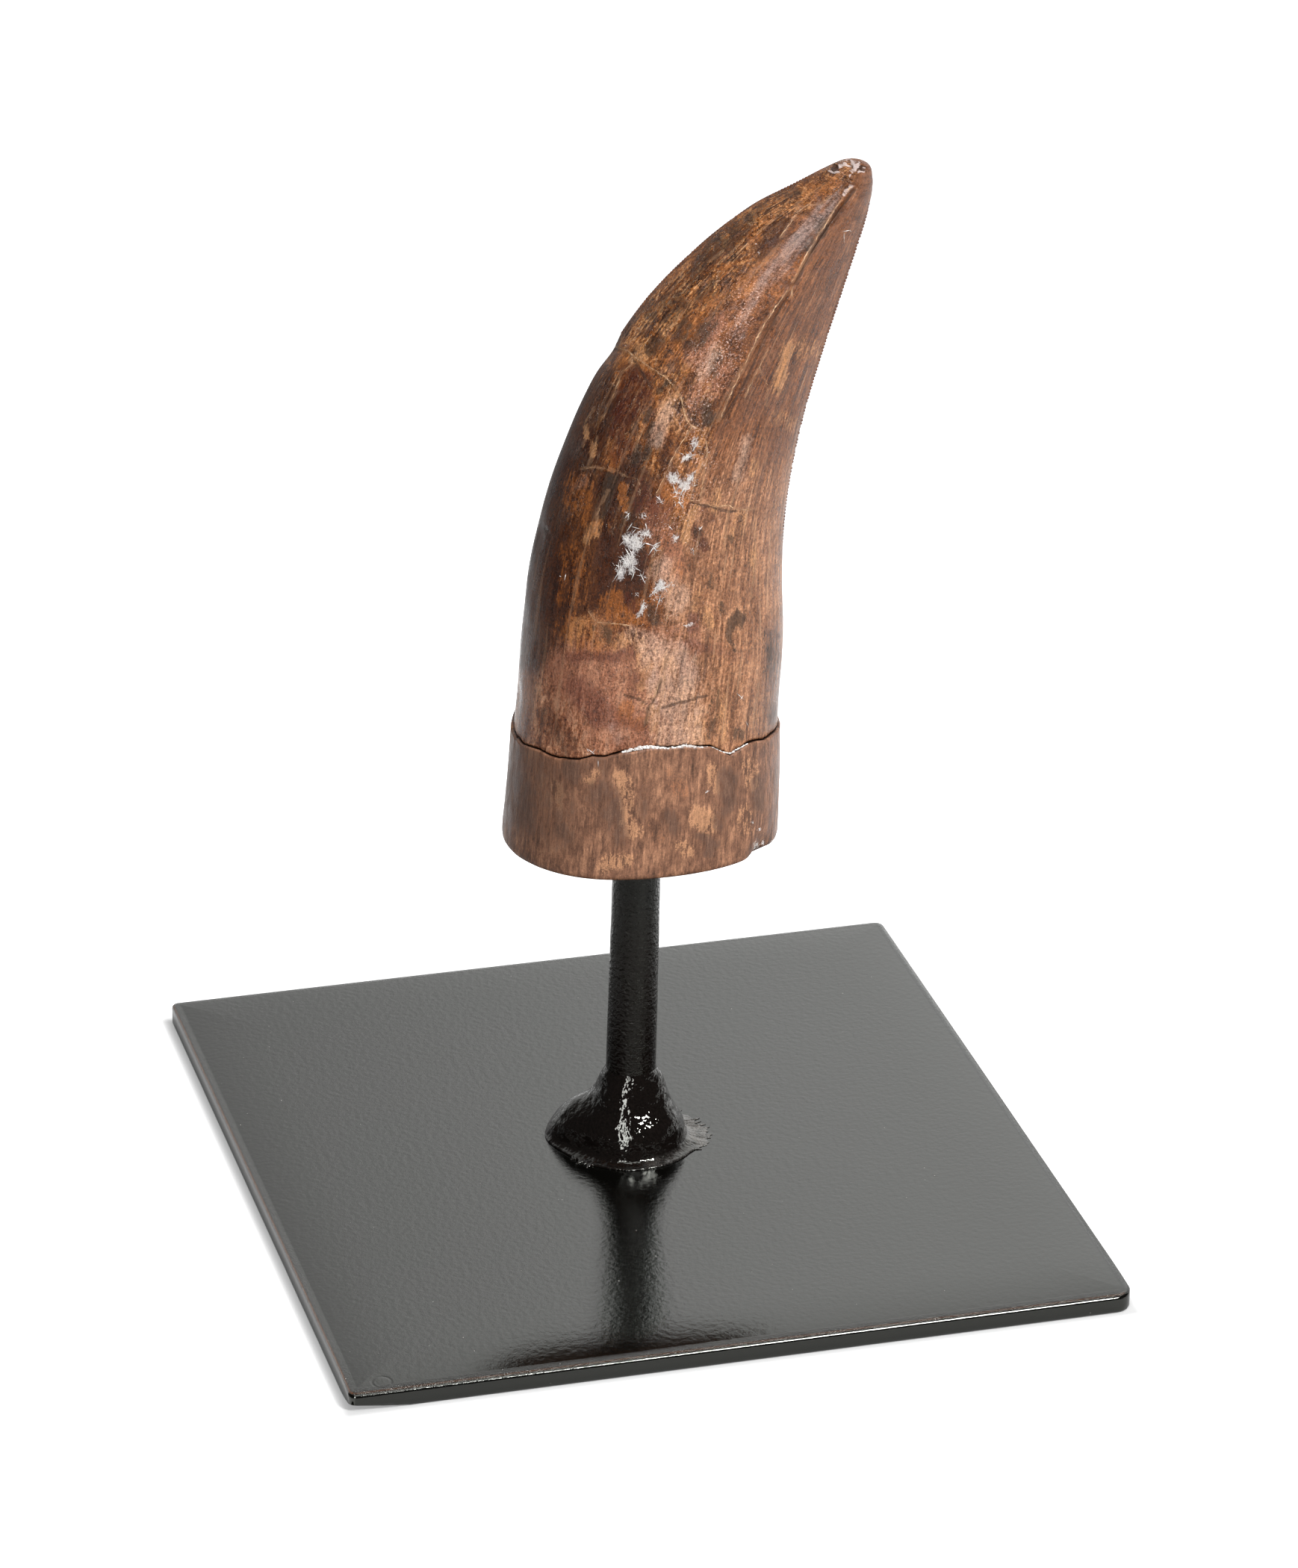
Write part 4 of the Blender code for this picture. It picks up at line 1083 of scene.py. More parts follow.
def make_serration(name, angle, first, last, pitch, size, seed, material):
    """A row of small chisel-shaped denticles along a cutting edge of the crown."""
    rng = np.random.default_rng(seed)
    edge, _ = tooth_surface(np.linspace(first, last, 1500), angle)
    run = run_along(edge)
    count = int(run[-1] / pitch)
    half_length, thickness, least, further = DENTICLE_SHAPE
    scraps = Scraps()
    for i in range(count):
        at = (i + 0.5) * pitch
        centre = point_at(edge, run, at)
        along = point_at(edge, run, at + 0.3) - centre
        along /= np.linalg.norm(along)
        away = np.array((along[2], 0, -along[0])) * (1 if angle == 0.0 else -1)
        run_out = min(1.0, (i + 1) / DENTICLE_RUN_OUT, (count - i) / DENTICLE_RUN_OUT)
        height = rng.uniform(*DENTICLE_HEIGHTS) * run_out
        if rng.random() < BROKEN_DENTICLES:
            height *= STUMP_HEIGHT
        axes = (along, np.cross(away, along), away)
        sizes = (pitch * half_length, size * thickness, size * (least + further * height))
        scraps.add(*blob(centre - away * size * DENTICLE_SINK, axes, sizes, rng, DENTICLE_ROUGHNESS))
    scraps.points = list(to_plate(np.array(scraps.points)))
    scraps.show(name, material)


# ---------------------------------------------------------------- stand
TOP_FROM, GROUND_BELOW = 2.5, 1.2  # heights between which the rings are the wall's
WALL_PART, TOP_ONLY = (0.2, 2.95), 3.0
WALL_FROM = (49.0, 54.2)  # x and y past which a point belongs to the wall or its edge
WORN_LEFT, WORN_FRONT = (-50.3, 0.8), (-55.5, 0.3)  # where the top edge has lost paint, and how much
ROD_ROWS, ROD_COLUMNS = 260, 110
WELD_ROWS, WELD_COLUMNS = 90, 540
WELD_LOW, WELD_FLAT = (0.3, 0.9), (0.5, 1.4)  # heights over which the splashes and the film end
WELD_BODY = ((0.2, 1.5), (9.5, 11.0))  # heights over which the lumps begin and end
SPLASH_FLATNESS, FLAKE_POWER = 0.65, 1.3
FILM_RADIUS = (7.0, 8.2)  # distances from the rod over which the film begins
LUMP_SIZE, SMALL_LUMP_SIZE, WELD_GRAIN_SIZE = 3.6, 1.2, 0.5


def stretch_between(first, last, count):
    """Points between two others, without the ends."""
    return [first + (last - first) * share for share in np.linspace(0, 1, count)[1:-1]]


def rounded_outline(inset, per_corner=14, per_side=60):
    """Plate's outline, moved in by a distance, the same number of points each time."""
    corners = []
    for side_x, side_y, radius in PLATE_CORNER_RADII:
        radius = max(radius - inset, 0.02)
        centre = np.array((side_x * (PLATE_WIDTH / 2 - inset - radius),
                           side_y * (PLATE_DEPTH / 2 - inset - radius)))
        start = math.atan2(side_y, side_x) - math.pi / 4
        turn = start + np.linspace(0, math.pi / 2, per_corner)
        corners.append(list(centre + radius * np.stack((np.cos(turn), np.sin(turn)), -1)))
    points = []
    for corner, following in zip(corners, corners[1:] + corners[:1]):
        points += corner + stretch_between(corner[-1], following[0], per_side)
    return np.array(points)


def make_plate(material):
    rings = []
    for inset, height in PLATE_RINGS:
        outline = rounded_outline(inset)
        ring = np.column_stack((outline, np.full(len(outline), height)))
        if height > TOP_FROM:
            front = -PLATE_DEPTH / 2 - ring[:, 1]
            ring[:, 2] -= ROLL_OVER * np.clip(1 + front / ROLL_REACH, 0, 1) ** ROLL_POWER
        if height < GROUND_BELOW:
            reach_x, reach_y, tall = GROUND_CORNER
            share = 1 - (ring[:, 0] + PLATE_WIDTH / 2) / reach_x - (ring[:, 1] + PLATE_DEPTH / 2) / reach_y
            ring[:, 2] = np.maximum(ring[:, 2], tall * np.clip(share, 0, 1))
        rings.append(ring)
    skin = np.array(rings)
    wave = PLATE_WAVE[0] * rough_noise(skin, PLATE_WAVE[1], 2, seed=51)
    wall = (skin[..., 2] > WALL_PART[0]) & (skin[..., 2] < WALL_PART[1])
    outward = np.sign(skin[..., :2]) * (np.abs(skin[..., :2]) > WALL_FROM)
    nick = np.clip(rough_noise(skin * (1, 1, 0.4), PLATE_NICKS[1], 2, seed=53) - 0.35, 0, 1)
    skin[..., :2] -= outward * (PLATE_NICKS[0] * nick * wall)[..., None]
    skin[..., 2] += wave * (skin[..., 2] > TOP_ONLY)
    plate = stand_mesh("plate_surface", skin, material)
    rim, worn = np.zeros(skin.shape[:2]), np.zeros(skin.shape[:2])
    rim[FIRST_RIM_RING:FIRST_RIM_RING + len(RIM_STRENGTHS)] = np.array(RIM_STRENGTHS)[:, None]
    edge = skin[WORN_RING]
    worn[WORN_RING] = np.maximum(WORN_LEFT[1] * (edge[:, 0] < WORN_LEFT[0]),
                                 WORN_FRONT[1] * (edge[:, 1] < WORN_FRONT[0]))
    add_values(plate, rim=rim, worn=worn)
    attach(plate, "root")
    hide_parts("base_plate")


def rod_axis(height):
    """Point of the rod's leaning axis at a height above the plate."""
    height = np.asarray(height, float)
    return to_plate(np.stack((ROD_FOOT_SHIFT + height * math.tan(ROD_LEAN), 0 * height,
                              PLATE_THICKNESS + height), -1))


def make_rod(material):
    heights = np.linspace(0.1, ROD_TOP - PLATE_THICKNESS, ROD_ROWS)
    ring = circle(np.linspace(0, 2 * math.pi, ROD_COLUMNS, endpoint=False))[None]
    share = heights / (ROD_TOP - PLATE_THICKNESS)
    radius = ROD_FOOT_RADIUS + share * (ROD_TOP_RADIUS - ROD_FOOT_RADIUS)
    points = rod_axis(heights)[:, None, :] + radius[:, None, None] * ring
    points = points + ROD_UNEVEN[0] * rough_noise(points, ROD_UNEVEN[1], 2, seed=62)[..., None] * ring
    rod = stand_mesh("rod_surface", points, material)
    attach(rod, "root")
    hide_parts("post")


def angle_between(first, second):
    return np.abs((first - second + 180) % 360 - 180)


def weld_foot(angles):
    """How far splashes reach past the weld's foot, and the tone of the thin film there, a grey that is
    partly painted sheen.
    """
    splash, film_and_sheen, spill = (np.zeros(len(angles)) for _ in range(3))
    for angle, length, half_width in WELD_FLAKES:
        away = angle_between(angles, angle) / half_width
        splash = np.maximum(splash, length * np.clip(1 - away, 0, 1) ** FLAKE_POWER)
    for angle, half_span, extra, tone in WELD_FILM_AND_SHEEN:
        here = 1 - smooth_step(0.5, 1.0, angle_between(angles, angle) / half_span)
        film_and_sheen = np.maximum(film_and_sheen, tone * here)
        spill = np.maximum(spill, extra * here)
    ragged = 1 + 0.9 * rough_noise(circle(np.radians(angles), 12.0), 2.0, 3, seed=75)
    return np.maximum(splash, spill * np.clip(ragged, 0.2, 2)), film_and_sheen


def make_weld(material):
    angles = np.linspace(0, 360, WELD_COLUMNS, endpoint=False)
    splash, film_and_sheen = weld_foot(angles)
    middle, spread = WELD_LOBE
    lobe = np.exp(-((angle_between(angles, middle) / spread) ** 2))
    profile = smooth_table(WELD_PROFILE, np.linspace(0, len(WELD_PROFILE) - 1, WELD_ROWS))
    height, round_radius, lobe_radius = profile.T[..., None]
    low = 1 - smooth_step(*WELD_LOW, height)
    radius = round_radius + (lobe_radius - round_radius) * lobe + splash * low
    flattened = height * (1 - SPLASH_FLATNESS * low * np.clip(splash, 0, 1))
    height = np.where(height > 0, flattened, height)
    ring = circle(np.radians(angles))
    points = rod_axis(height) + to_plate(radius[..., None] * ring)
    body = smooth_step(*WELD_BODY[0], height) * (1 - smooth_step(*WELD_BODY[1], height))
    lumps = (WELD_LUMPS * rough_noise(points, LUMP_SIZE, 2, seed=71)
             + WELD_SMALL_LUMPS * rough_noise(points, SMALL_LUMP_SIZE, 1, seed=72))
    grain = WELD_GRAIN * rough_noise(points, WELD_GRAIN_SIZE, 1, seed=73)
    rise = lumps * body + grain * np.minimum(1, body + 0.2)
    weld = stand_mesh("weld_surface", points + rise[..., None] * to_plate(ring), material)
    # thin grey film near the weld's foot; its grey is partly a painted sheen
    flat_part = (1 - smooth_step(*WELD_FLAT, height)) * smooth_step(*FILM_RADIUS, radius)
    add_values(weld, smear=film_and_sheen * flat_part)
    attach(weld, "root")
    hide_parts("weld_collar")


# ---------------------------------------------------------------- materials
class Paint:
    """The nodes of a material or of the world, added and linked in short calls."""

    def __init__(self, owner):
        owner.use_nodes = True
        self.owner, self.tree = owner, owner.node_tree

    def put(self, value, socket):
        if isinstance(value, bpy.types.NodeSocket):
            self.tree.links.new(value, socket)
        elif isinstance(value, tuple) and len(value) == 3 and len(socket.default_value) == 4:
            socket.default_value = (*value, 1.0)
        else:
            socket.default_value = value

    def node(self, kind, settings=(), **inputs):
        node = self.tree.nodes.new("ShaderNode" + kind)
        for key, value in dict(settings).items():
            setattr(node, key, value)
        for key, value in inputs.items():
            self.put(value, node.inputs[key.replace("_", " ")])
        return node

    def attribute(self, name, vector=False):
        node = self.node("Attribute", {"attribute_name": name})
        return node.outputs["Vector" if vector else "Fac"]

    def object_place(self):
        return self.node("TexCoord").outputs["Object"]

    def camera_ray(self):
        return self.node("LightPath").outputs["Is Camera Ray"]

    def math(self, operation, *values, clamp=False):
        node = self.node("Math", {"operation": operation, "use_clamp": clamp})
        for value, socket in zip((*values, 0.0, 0.0), node.inputs):
            self.put(value, socket)
        return node.outputs[0]

    def times(self, product, *factors):
        for factor in factors:
            product = self.math("MULTIPLY", product, factor)
        return product

    def total(self, *parts):
        """Weighted sum."""
        total = 0.0
        for weight, value in parts:
            total = self.math("MULTIPLY_ADD", value, weight, total)
        return total

    def blend(self, *parts):
        """Mean of patterns from 0 to 1, weighted and stretched to keep a single pattern's contrast."""
        gain = 1 / math.sqrt(sum(weight**2 for weight, _ in parts))
        parts = [(weight * gain, value) for weight, value in parts]
        return self.total(*parts, (1.0, 0.5 - 0.5 * gain))

    def vector(self, operation, *values, output="Vector"):
        node = self.node("VectorMath", {"operation": operation})
        for value, socket in zip(values, node.inputs):
            self.put(value, socket)
        return node.outputs[output]

    def stretch(self, vector, x, y, z, shift=0.0):
        return self.vector("MULTIPLY_ADD", vector, (x, y, z), (shift,) * 3)

    def noise(self, vector, scale, detail=3.0, roughness=0.55, distortion=0.0):
        node = self.node("TexNoise", Vector=vector, Scale=scale, Detail=detail,
                         Roughness=roughness, Distortion=distortion)
        return node.outputs["Fac"]

    def warp(self, vector, scale, amount):
        """Places moved by noise, up to half the amount either way."""
        noise = self.node("TexNoise", Vector=vector, Scale=scale, Detail=2.0).outputs["Color"]
        centred = self.stretch(vector, 1, 1, 1, -amount / 2)
        return self.vector("MULTIPLY_ADD", noise, (amount,) * 3, centred)

    def cells(self, vector, scale):
        """Shards: one random tone for each cell."""
        node = self.node("TexVoronoi", Vector=vector, Scale=scale)
        return self.node("SeparateColor", Color=node.outputs["Color"]).outputs[0]

    def cell_edges(self, vector, scale):
        node = self.node("TexVoronoi", {"feature": "DISTANCE_TO_EDGE"}, Vector=vector, Scale=scale)
        return node.outputs["Distance"]

    def span(self, value, low, high, to_low=0.0, to_high=1.0, smooth=True):
        """A value's range from low to high, mapped to another range and kept inside it."""
        kind = "SMOOTHSTEP" if smooth else "LINEAR"
        node = self.node("MapRange", {"interpolation_type": kind}, Value=value, From_Min=low,
                         From_Max=high, To_Min=to_low, To_Max=to_high)
        return node.outputs["Result"]

    def mix(self, factor, first, second):
        node = self.node("Mix", {"data_type": "RGBA"})
        for value, index in ((factor, 0), (first, 6), (second, 7)):
            self.put(value, node.inputs[index])
        return node.outputs[2]

    def lay(self, colour, tone, *strengths):
        """A colour with a tone over it, as strong as the product of the strengths."""
        return self.mix(self.times(*strengths), colour, tone)

    def shade(self, colour, factor):
        """Colour made lighter or darker by a factor."""
        return self.node("VectorMath", {"operation": "SCALE"}, Vector=colour, Scale=factor).outputs[0]

    def ramp(self, value, stops):
        node = self.node("ValToRGB", Fac=value)
        elements = node.color_ramp.elements
        while len(elements) < len(stops):
            elements.new(0.5)
        for element, (place, colour) in zip(elements, stops):
            element.position = place
            element.color = (*colour, 1.0)
        return node.outputs["Color"]

    def bump(self, height, strength, distance, normal=None):
        node = self.node("Bump", Height=height, Strength=strength, Distance=distance)
        if normal:
            self.put(normal, node.inputs["Normal"])
        return node.outputs["Normal"]

    def masked(self, group, pattern, ragged=0.8, soft=0.25):
        """A painted group's mask: solid in its core, and broken up towards its edge by a pattern."""
        value = self.attribute(group)
        field = self.math("MULTIPLY_ADD", self.math("SUBTRACT", pattern, 0.5), ragged, value)
        inside = self.span(field, 0.5 - soft, 0.5 + soft)
        return self.times(inside, self.math("MULTIPLY", value, 4.0, clamp=True))

    def patterns(self, table):
        """Noise from 0 to 1, stretched along the tooth by its flow or along its striations."""
        places = {row[0]: None for row in table.values()}
        made = SimpleNamespace(**{name: self.attribute(name, vector=True) for name in places})
        for name, (place, along, scale, detail, rough, reach, distortion, shift) in table.items():
            where = self.stretch(getattr(made, place), 1.0, 1.0, along, shift)
            noise = self.noise(where, scale, detail, rough, distortion)
            setattr(made, name, self.span(noise, 0.5 - reach, 0.5 + reach, smooth=False))
        return made

    def finish(self, shader="Principled BSDF", **inputs):
        for key, value in inputs.items():
            self.put(value, self.tree.nodes[shader].inputs[key.replace("_", " ")])
        return self.owner


def new_paint(name):
    return Paint(bpy.data.materials.new(name))


CROWN_PATTERNS = {
    # coordinates, stretch along the tooth, scale, detail, roughness, reach, distortion, shift
    "fibre": ("way", 0.035, 3.6, 3, 0.75, 0.20, 0.0, 0.0),
    "streak": ("way", 0.12, 1.1, 4, 0.65, 0.18, 0.2, 0.0),
    "thread": ("way", 0.035, 1.6, 2, 0.5, 0.20, 0.0, 23.0),
    "beads": ("way", 0.55, 4.0, 2, 0.6, 0.20, 0.0, 7.0),
    "mottle": ("flow", 0.42, 0.60, 8, 0.72, 0.16, 0.6, 0.0),
    "flake": ("flow", 0.35, 1.5, 6, 0.78, 0.18, 0.3, 11.0),
    "cloud": ("flow", 0.60, 0.15, 3, 0.5, 0.14, 0.0, 0.0),
    "hue": ("flow", 0.45, 0.9, 5, 0.7, 0.16, 0.4, 31.0),
    "grain": ("flow", 1.0, 4.6, 3, 0.75, 0.20, 0.0, 0.0),
    "speck": ("flow", 0.7, 3.0, 3, 0.75, 0.20, 0.0, 0.0),
    "band": ("flow", 2.2, 0.12, 3, 0.6, 0.14, 0.0, 5.0),
}
ROOT_PATTERNS = {
    "fibre": ("flow", 0.10, 3.6, 3, 0.7, 0.20, 0.0, 0.0),
    "streak": ("flow", 0.22, 1.3, 4, 0.65, 0.18, 0.0, 0.0),
    "mottle": ("flow", 0.55, 0.45, 8, 0.72, 0.16, 0.4, 0.0),
    "flake": ("flow", 0.45, 1.8, 5, 0.75, 0.18, 0.3, 0.0),
    "grain": ("flow", 1.0, 4.6, 3, 0.75, 0.20, 0.0, 0.0),
}
SHARD_SCALE, CHIP_SCALE = 0.95, 2.3

# Tones from the darkest to the palest part of each pattern
SMOOTH_LEFT = ((0.10, (0.044, 0.010, 0.001)), (0.38, (0.114, 0.031, 0.004)),
               (0.60, (0.212, 0.064, 0.012)), (0.92, (0.385, 0.140, 0.038)))
SPLIT_LEFT = ((0.06, (0.034, 0.009, 0.001)), (0.30, (0.098, 0.027, 0.004)),
              (0.54, (0.208, 0.062, 0.010)), (0.76, (0.385, 0.132, 0.028)),
              (0.96, (0.660, 0.335, 0.140)))
LOWER_LEFT = ((0.18, (0.135, 0.040, 0.015)), (0.50, (0.335, 0.134, 0.065)),
              (0.82, (0.585, 0.310, 0.182)))
RIGHT = ((0.08, (0.078, 0.022, 0.005)), (0.48, (0.140, 0.042, 0.010)), (0.92, (0.238, 0.080, 0.024)))
RIGHT_TAN = ((0.08, (0.200, 0.078, 0.035)), (0.48, (0.315, 0.138, 0.066)),
             (0.92, (0.460, 0.226, 0.119)))
ROOT_TONES = ((0.05, (0.135, 0.061, 0.034)), (0.38, (0.195, 0.088, 0.049)),
              (0.60, (0.255, 0.120, 0.067)), (0.95, (0.370, 0.183, 0.102)))
# painted shade: the broken faces inside the seam are laid near black
BREAK_SHADE_TONE = (0.012, 0.006, 0.004)

# Painted groups: name, pattern that breaks it up, how ragged, how soft, amount, tone
CROWN_GROUPS = (
    ("umber", "ragged", 0.7, 0.30, 0.80, (0.034, 0.006, 0.000)),
    ("rose", "soft", 0.8, 0.40, 0.7, (0.340, 0.140, 0.080)),
    ("tan", "shredded", 1.0, 0.30, 0.60, (0.520, 0.255, 0.110)),
    ("rust", "shredded", 1.1, 0.25, 0.50, (0.360, 0.112, 0.020)),
    ("maroon", "shredded", 1.1, 0.22, 0.72, (0.056, 0.005, 0.000)),
    ("blush", "soft", 0.6, 0.45, 0.60, (0.130, 0.038, 0.024)),
    ("soot", "shredded", 1.6, 0.14, 0.78, (0.036, 0.019, 0.010)),
    ("blond", "soft", 0.8, 0.40, 0.50, (0.620, 0.400, 0.290)),
)
CROWN_MARKS = (
    # dark beside the open cracks, and painted shade in the groove beside the ridge
    ("gap", "ragged", 1.0, 0.3, 0.7, (0.060, 0.026, 0.014)),
    # cream beside the filled cracks, and partly painted highlight on the ridge's crest
    ("crust_and_ridge_light", "ragged", 1.5, 0.2, 0.20, (0.540, 0.300, 0.160)),
    ("pits", "crumbly", 0.8, 0.3, 0.85, (0.045, 0.020, 0.012)),
    # painted highlights round the tip's pits
    ("rims", "crumbly", 1.0, 0.3, 0.75, (0.780, 0.640, 0.600)),
)
ROOT_GROUPS = (
    ("tan", "shredded", 1.7, 0.16, 0.6, (0.540, 0.275, 0.140)),
    ("rust", "shredded", 1.7, 0.16, 0.6, (0.300, 0.120, 0.055)),
    ("soot", "shredded", 1.7, 0.16, 0.65, (0.100, 0.055, 0.038)),
)


# In what follows, p is a material's Paint and n holds its patterns.
def lay_groups(p, n, colour, groups):
    """A colour with painted groups over it, each broken up by one of the patterns."""
    for group, pattern, ragged, softness, amount, tone in groups:
        mask = p.masked(group, getattr(n, pattern), ragged, softness)
        colour = p.lay(colour, tone, mask, amount)
    return colour


def crown_patterns(p):
    """The crown's noise patterns, its split shards, and the blends made from them."""
    n = p.patterns(CROWN_PATTERNS)
    splits = p.stretch(p.warp(p.warp(n.flow, 0.7, 2.2), 2.6, 0.7), 1.0, 1.0, 0.30)
    n.shard, n.chip = p.cells(splits, SHARD_SCALE), p.cells(splits, CHIP_SCALE)
    n.crumbly = p.blend((0.40, n.flake), (0.28, n.speck), (0.32, n.grain))
    n.soft = p.blend((0.50, n.mottle), (0.22, n.speck), (0.28, n.grain))
    n.lengthwise = p.blend((0.52, n.fibre), (0.14, n.streak), (0.34, n.beads))
    n.ragged = p.blend((0.50, n.flake), (0.30, n.mottle), (0.20, n.speck))
    n.shredded = p.blend((0.34, n.flake), (0.16, n.mottle), (0.24, n.fibre), (0.26, n.speck))
    n.face, n.lower, n.shards = p.attribute("distal_face"), p.attribute("lower"), p.attribute("shards")
    n.edge = p.times(p.span(p.cell_edges(splits, SHARD_SCALE), 0.0, 0.05, 1.0, 0.0), n.shards)
    return n


def left_face(p, n):
    """Mottled dark face before the ridge, split into pale shards above and smoother below."""
    smooth = p.blend((0.36, n.cloud), (0.34, n.mottle), (0.16, n.speck), (0.14, n.grain))
    split = p.blend((0.28, n.shard), (0.20, n.chip), (0.26, n.flake), (0.26, n.speck))
    left = p.lay(p.ramp(smooth, SMOOTH_LEFT), p.ramp(split, SPLIT_LEFT), n.shards, 0.9)
    left = p.lay(left, (0.200, 0.100, 0.066), p.span(n.hue, 0.60, 0.90, 0.0, 0.5))
    for other, low, high, amount, tone in (
        (n.speck, 0.58, 0.80, 0.65, (0.520, 0.275, 0.125)),
        (n.flake, 0.42, 0.22, 0.80, (0.030, 0.011, 0.004)),
    ):
        splinter = p.span(p.blend((0.65, n.fibre), (0.35, other)), low, high)
        left = p.lay(left, tone, splinter, n.shards, amount)
    lower = p.blend((0.50, n.mottle), (0.25, n.streak), (0.25, n.speck))
    return p.lay(left, p.ramp(lower, LOWER_LEFT), n.lower)


def right_face(p, n):
    """Smooth striated face behind the ridge, dark at the tip and tan below."""
    right, tan = (
        p.ramp(p.blend((0.62, n.lengthwise), (0.22, n.hue), (0.16, n.mottle)), tones)
        for tones in (RIGHT, RIGHT_TAN))
    tan_end = p.math("MULTIPLY_ADD", n.mottle, 0.4, p.attribute("tan_end"))
    right = p.lay(right, tan, p.span(tan_end, 0.0, 0.8))
    return p.lay(right, (0.150, 0.058, 0.028), p.span(n.band, 0.58, 0.80, 0.0, 0.4))


def striated(p, n, colour):
    """A colour with the fine lengthwise lines, and with the dark and pale rims of the shards."""
    lined = p.blend((0.6, n.lengthwise), (0.4, n.fibre))
    lined = p.times(p.span(lined, 0.15, 0.85, -1, 1, smooth=False), p.span(n.face, 0, 1, 0.14, 0.23))
    tone = p.total((1.0, lined), (0.75, n.speck), (1.05, n.grain), (1.0, 0.10))
    colour = p.shade(colour, p.math("MAXIMUM", tone, 0.2))
    for low, high, amount, tone in ((0.84, 0.95, 0.45, (0.520, 0.290, 0.160)),
                                    (0.16, 0.06, 0.5, (0.060, 0.026, 0.016))):
        line = p.span(n.thread, low, high, 0.0, amount)
        colour = p.lay(colour, tone, line, p.span(n.face, 0, 1, 0.4, 1.0))
    for low, high, amount, tone in ((0.50, 0.70, 0.6, (0.050, 0.022, 0.012)),
                                    (0.34, 0.20, 0.7, (0.600, 0.370, 0.220))):
        colour = p.lay(colour, tone, n.edge, p.span(n.hue, low, high, 0.0, amount))
    return colour


def crown_material():
    p = new_paint("crown_enamel")
    n = crown_patterns(p)
    colour = p.lay(left_face(p, n), right_face(p, n), n.face)
    colour = lay_groups(p, n, colour, CROWN_GROUPS)
    # painted sheen on the glossy strip beside the ridge, and a few pale spots lower down
    pale = p.times(p.attribute("pale"), p.blend((0.5, n.streak), (0.25, n.grain), (0.25, n.speck)))
    colour = p.lay(colour, (0.330, 0.230, 0.195), p.span(pale, 0.0, 0.8, 0.0, 0.60))
    colour = striated(p, n, colour)
    colour = lay_groups(p, n, colour, CROWN_MARKS)
    # tiny pale specks, partly grit and partly painted glints
    grit_specks_and_glints = p.times(p.masked("grit", n.speck, 0.8, 0.4), p.span(n.grain, 0.74, 0.86))
    colour = p.lay(colour, (0.80, 0.62, 0.55), grit_specks_and_glints, 0.75)
    chalk = p.masked("chalk", p.blend((0.5, n.speck), (0.5, n.grain)), 1.5, 0.3)
    colour = p.lay(colour, (0.66, 0.63, 0.62), chalk, 0.7)
    # painted shade in the seam: the broken faces are laid near black
    colour = p.lay(colour, BREAK_SHADE_TONE, p.attribute("broken"))

    rough = p.math("ADD", p.span(n.mottle, 0.2, 0.8, 0.23, 0.34), p.times(n.grain, 0.05))
    polished = p.math("MAXIMUM", n.lower, p.attribute("pale"))
    rough = p.math("SUBTRACT", rough, p.times(polished, 0.05))
    height = p.total((0.30, n.fibre), (0.45, n.grain), (0.7, n.flake))
    height = p.math("MULTIPLY_ADD", p.times(n.shards, n.shard), 0.9, height)
    height = p.math("MULTIPLY_ADD", n.edge, -1.2, height)
    return p.finish(Base_Color=colour, Roughness=rough, Normal=p.bump(height, 0.8, 0.00009), IOR=1.5)


def root_material():
    p = new_paint("root_fossil")
    n = p.patterns(ROOT_PATTERNS)
    n.shredded = p.blend((0.40, n.flake), (0.35, n.streak), (0.25, n.grain))
    broken_up = p.math("MULTIPLY_ADD", n.flake, 0.5, p.times(n.mottle, 0.5))
    tone = p.blend((0.5, broken_up), (0.3, n.streak), (0.2, n.fibre))
    colour = lay_groups(p, n, p.ramp(tone, ROOT_TONES), ROOT_GROUPS)
    tone = p.span(n.fibre, 0, 1, 0.76, 1.24, smooth=False)
    for pattern, amount in ((n.flake, 0.20), (n.grain, 0.32), (n.streak, 0.15)):
        tone = p.math("ADD", tone, p.span(pattern, 0, 1, -amount, amount, smooth=False))
    colour = p.shade(colour, p.math("MAXIMUM", tone, 0.25))
    # painted shade in the seam: the broken faces are laid near black
    colour = p.lay(colour, BREAK_SHADE_TONE, p.attribute("broken"))
    height = p.math("ADD", p.times(n.fibre, 0.6), p.times(n.grain, 0.4))
    return p.finish(Base_Color=colour, Roughness=p.span(n.mottle, 0.2, 0.8, 0.38, 0.52),
                    Normal=p.bump(height, 0.5, 0.00008), IOR=1.5)


LINE_TONES = {  # light tone, dark tone, roughness
    # cream of the filled cracks, partly painted highlight on the ridge's crest
    "crack_fill_and_ridge_light": ((0.74, 0.49, 0.29), (0.34, 0.17, 0.08), 0.5),
    # dark of the open cracks, and painted shade in the ridge's groove
    "open_crack_and_groove_shade": ((0.05, 0.022, 0.012), (0.012, 0.006, 0.004), 0.7),
    "mineral": ((0.86, 0.84, 0.82), (0.62, 0.58, 0.55), 0.35),
    "glue": ((0.88, 0.86, 0.84), (0.55, 0.48, 0.44), 0.25),
    "serration": ((0.20, 0.075, 0.045), (0.08, 0.03, 0.02), 0.4),
}


def line_material(name):
    """Splinters, crumbs, crack edges and the ridge's lines; "wear" takes a strip back to the dark tone."""
    light, dark, rough = LINE_TONES[name]
    p = new_paint(name)
    noise = p.noise(p.object_place(), 2600.0, 3, 0.6)
    tone = p.mix(p.span(noise, 0.35, 0.65), dark, light)
    tone = p.lay(tone, dark, p.attribute("wear"))
    return p.finish(Base_Color=tone, Roughness=rough, Normal=p.bump(noise, 0.3, 0.00004))


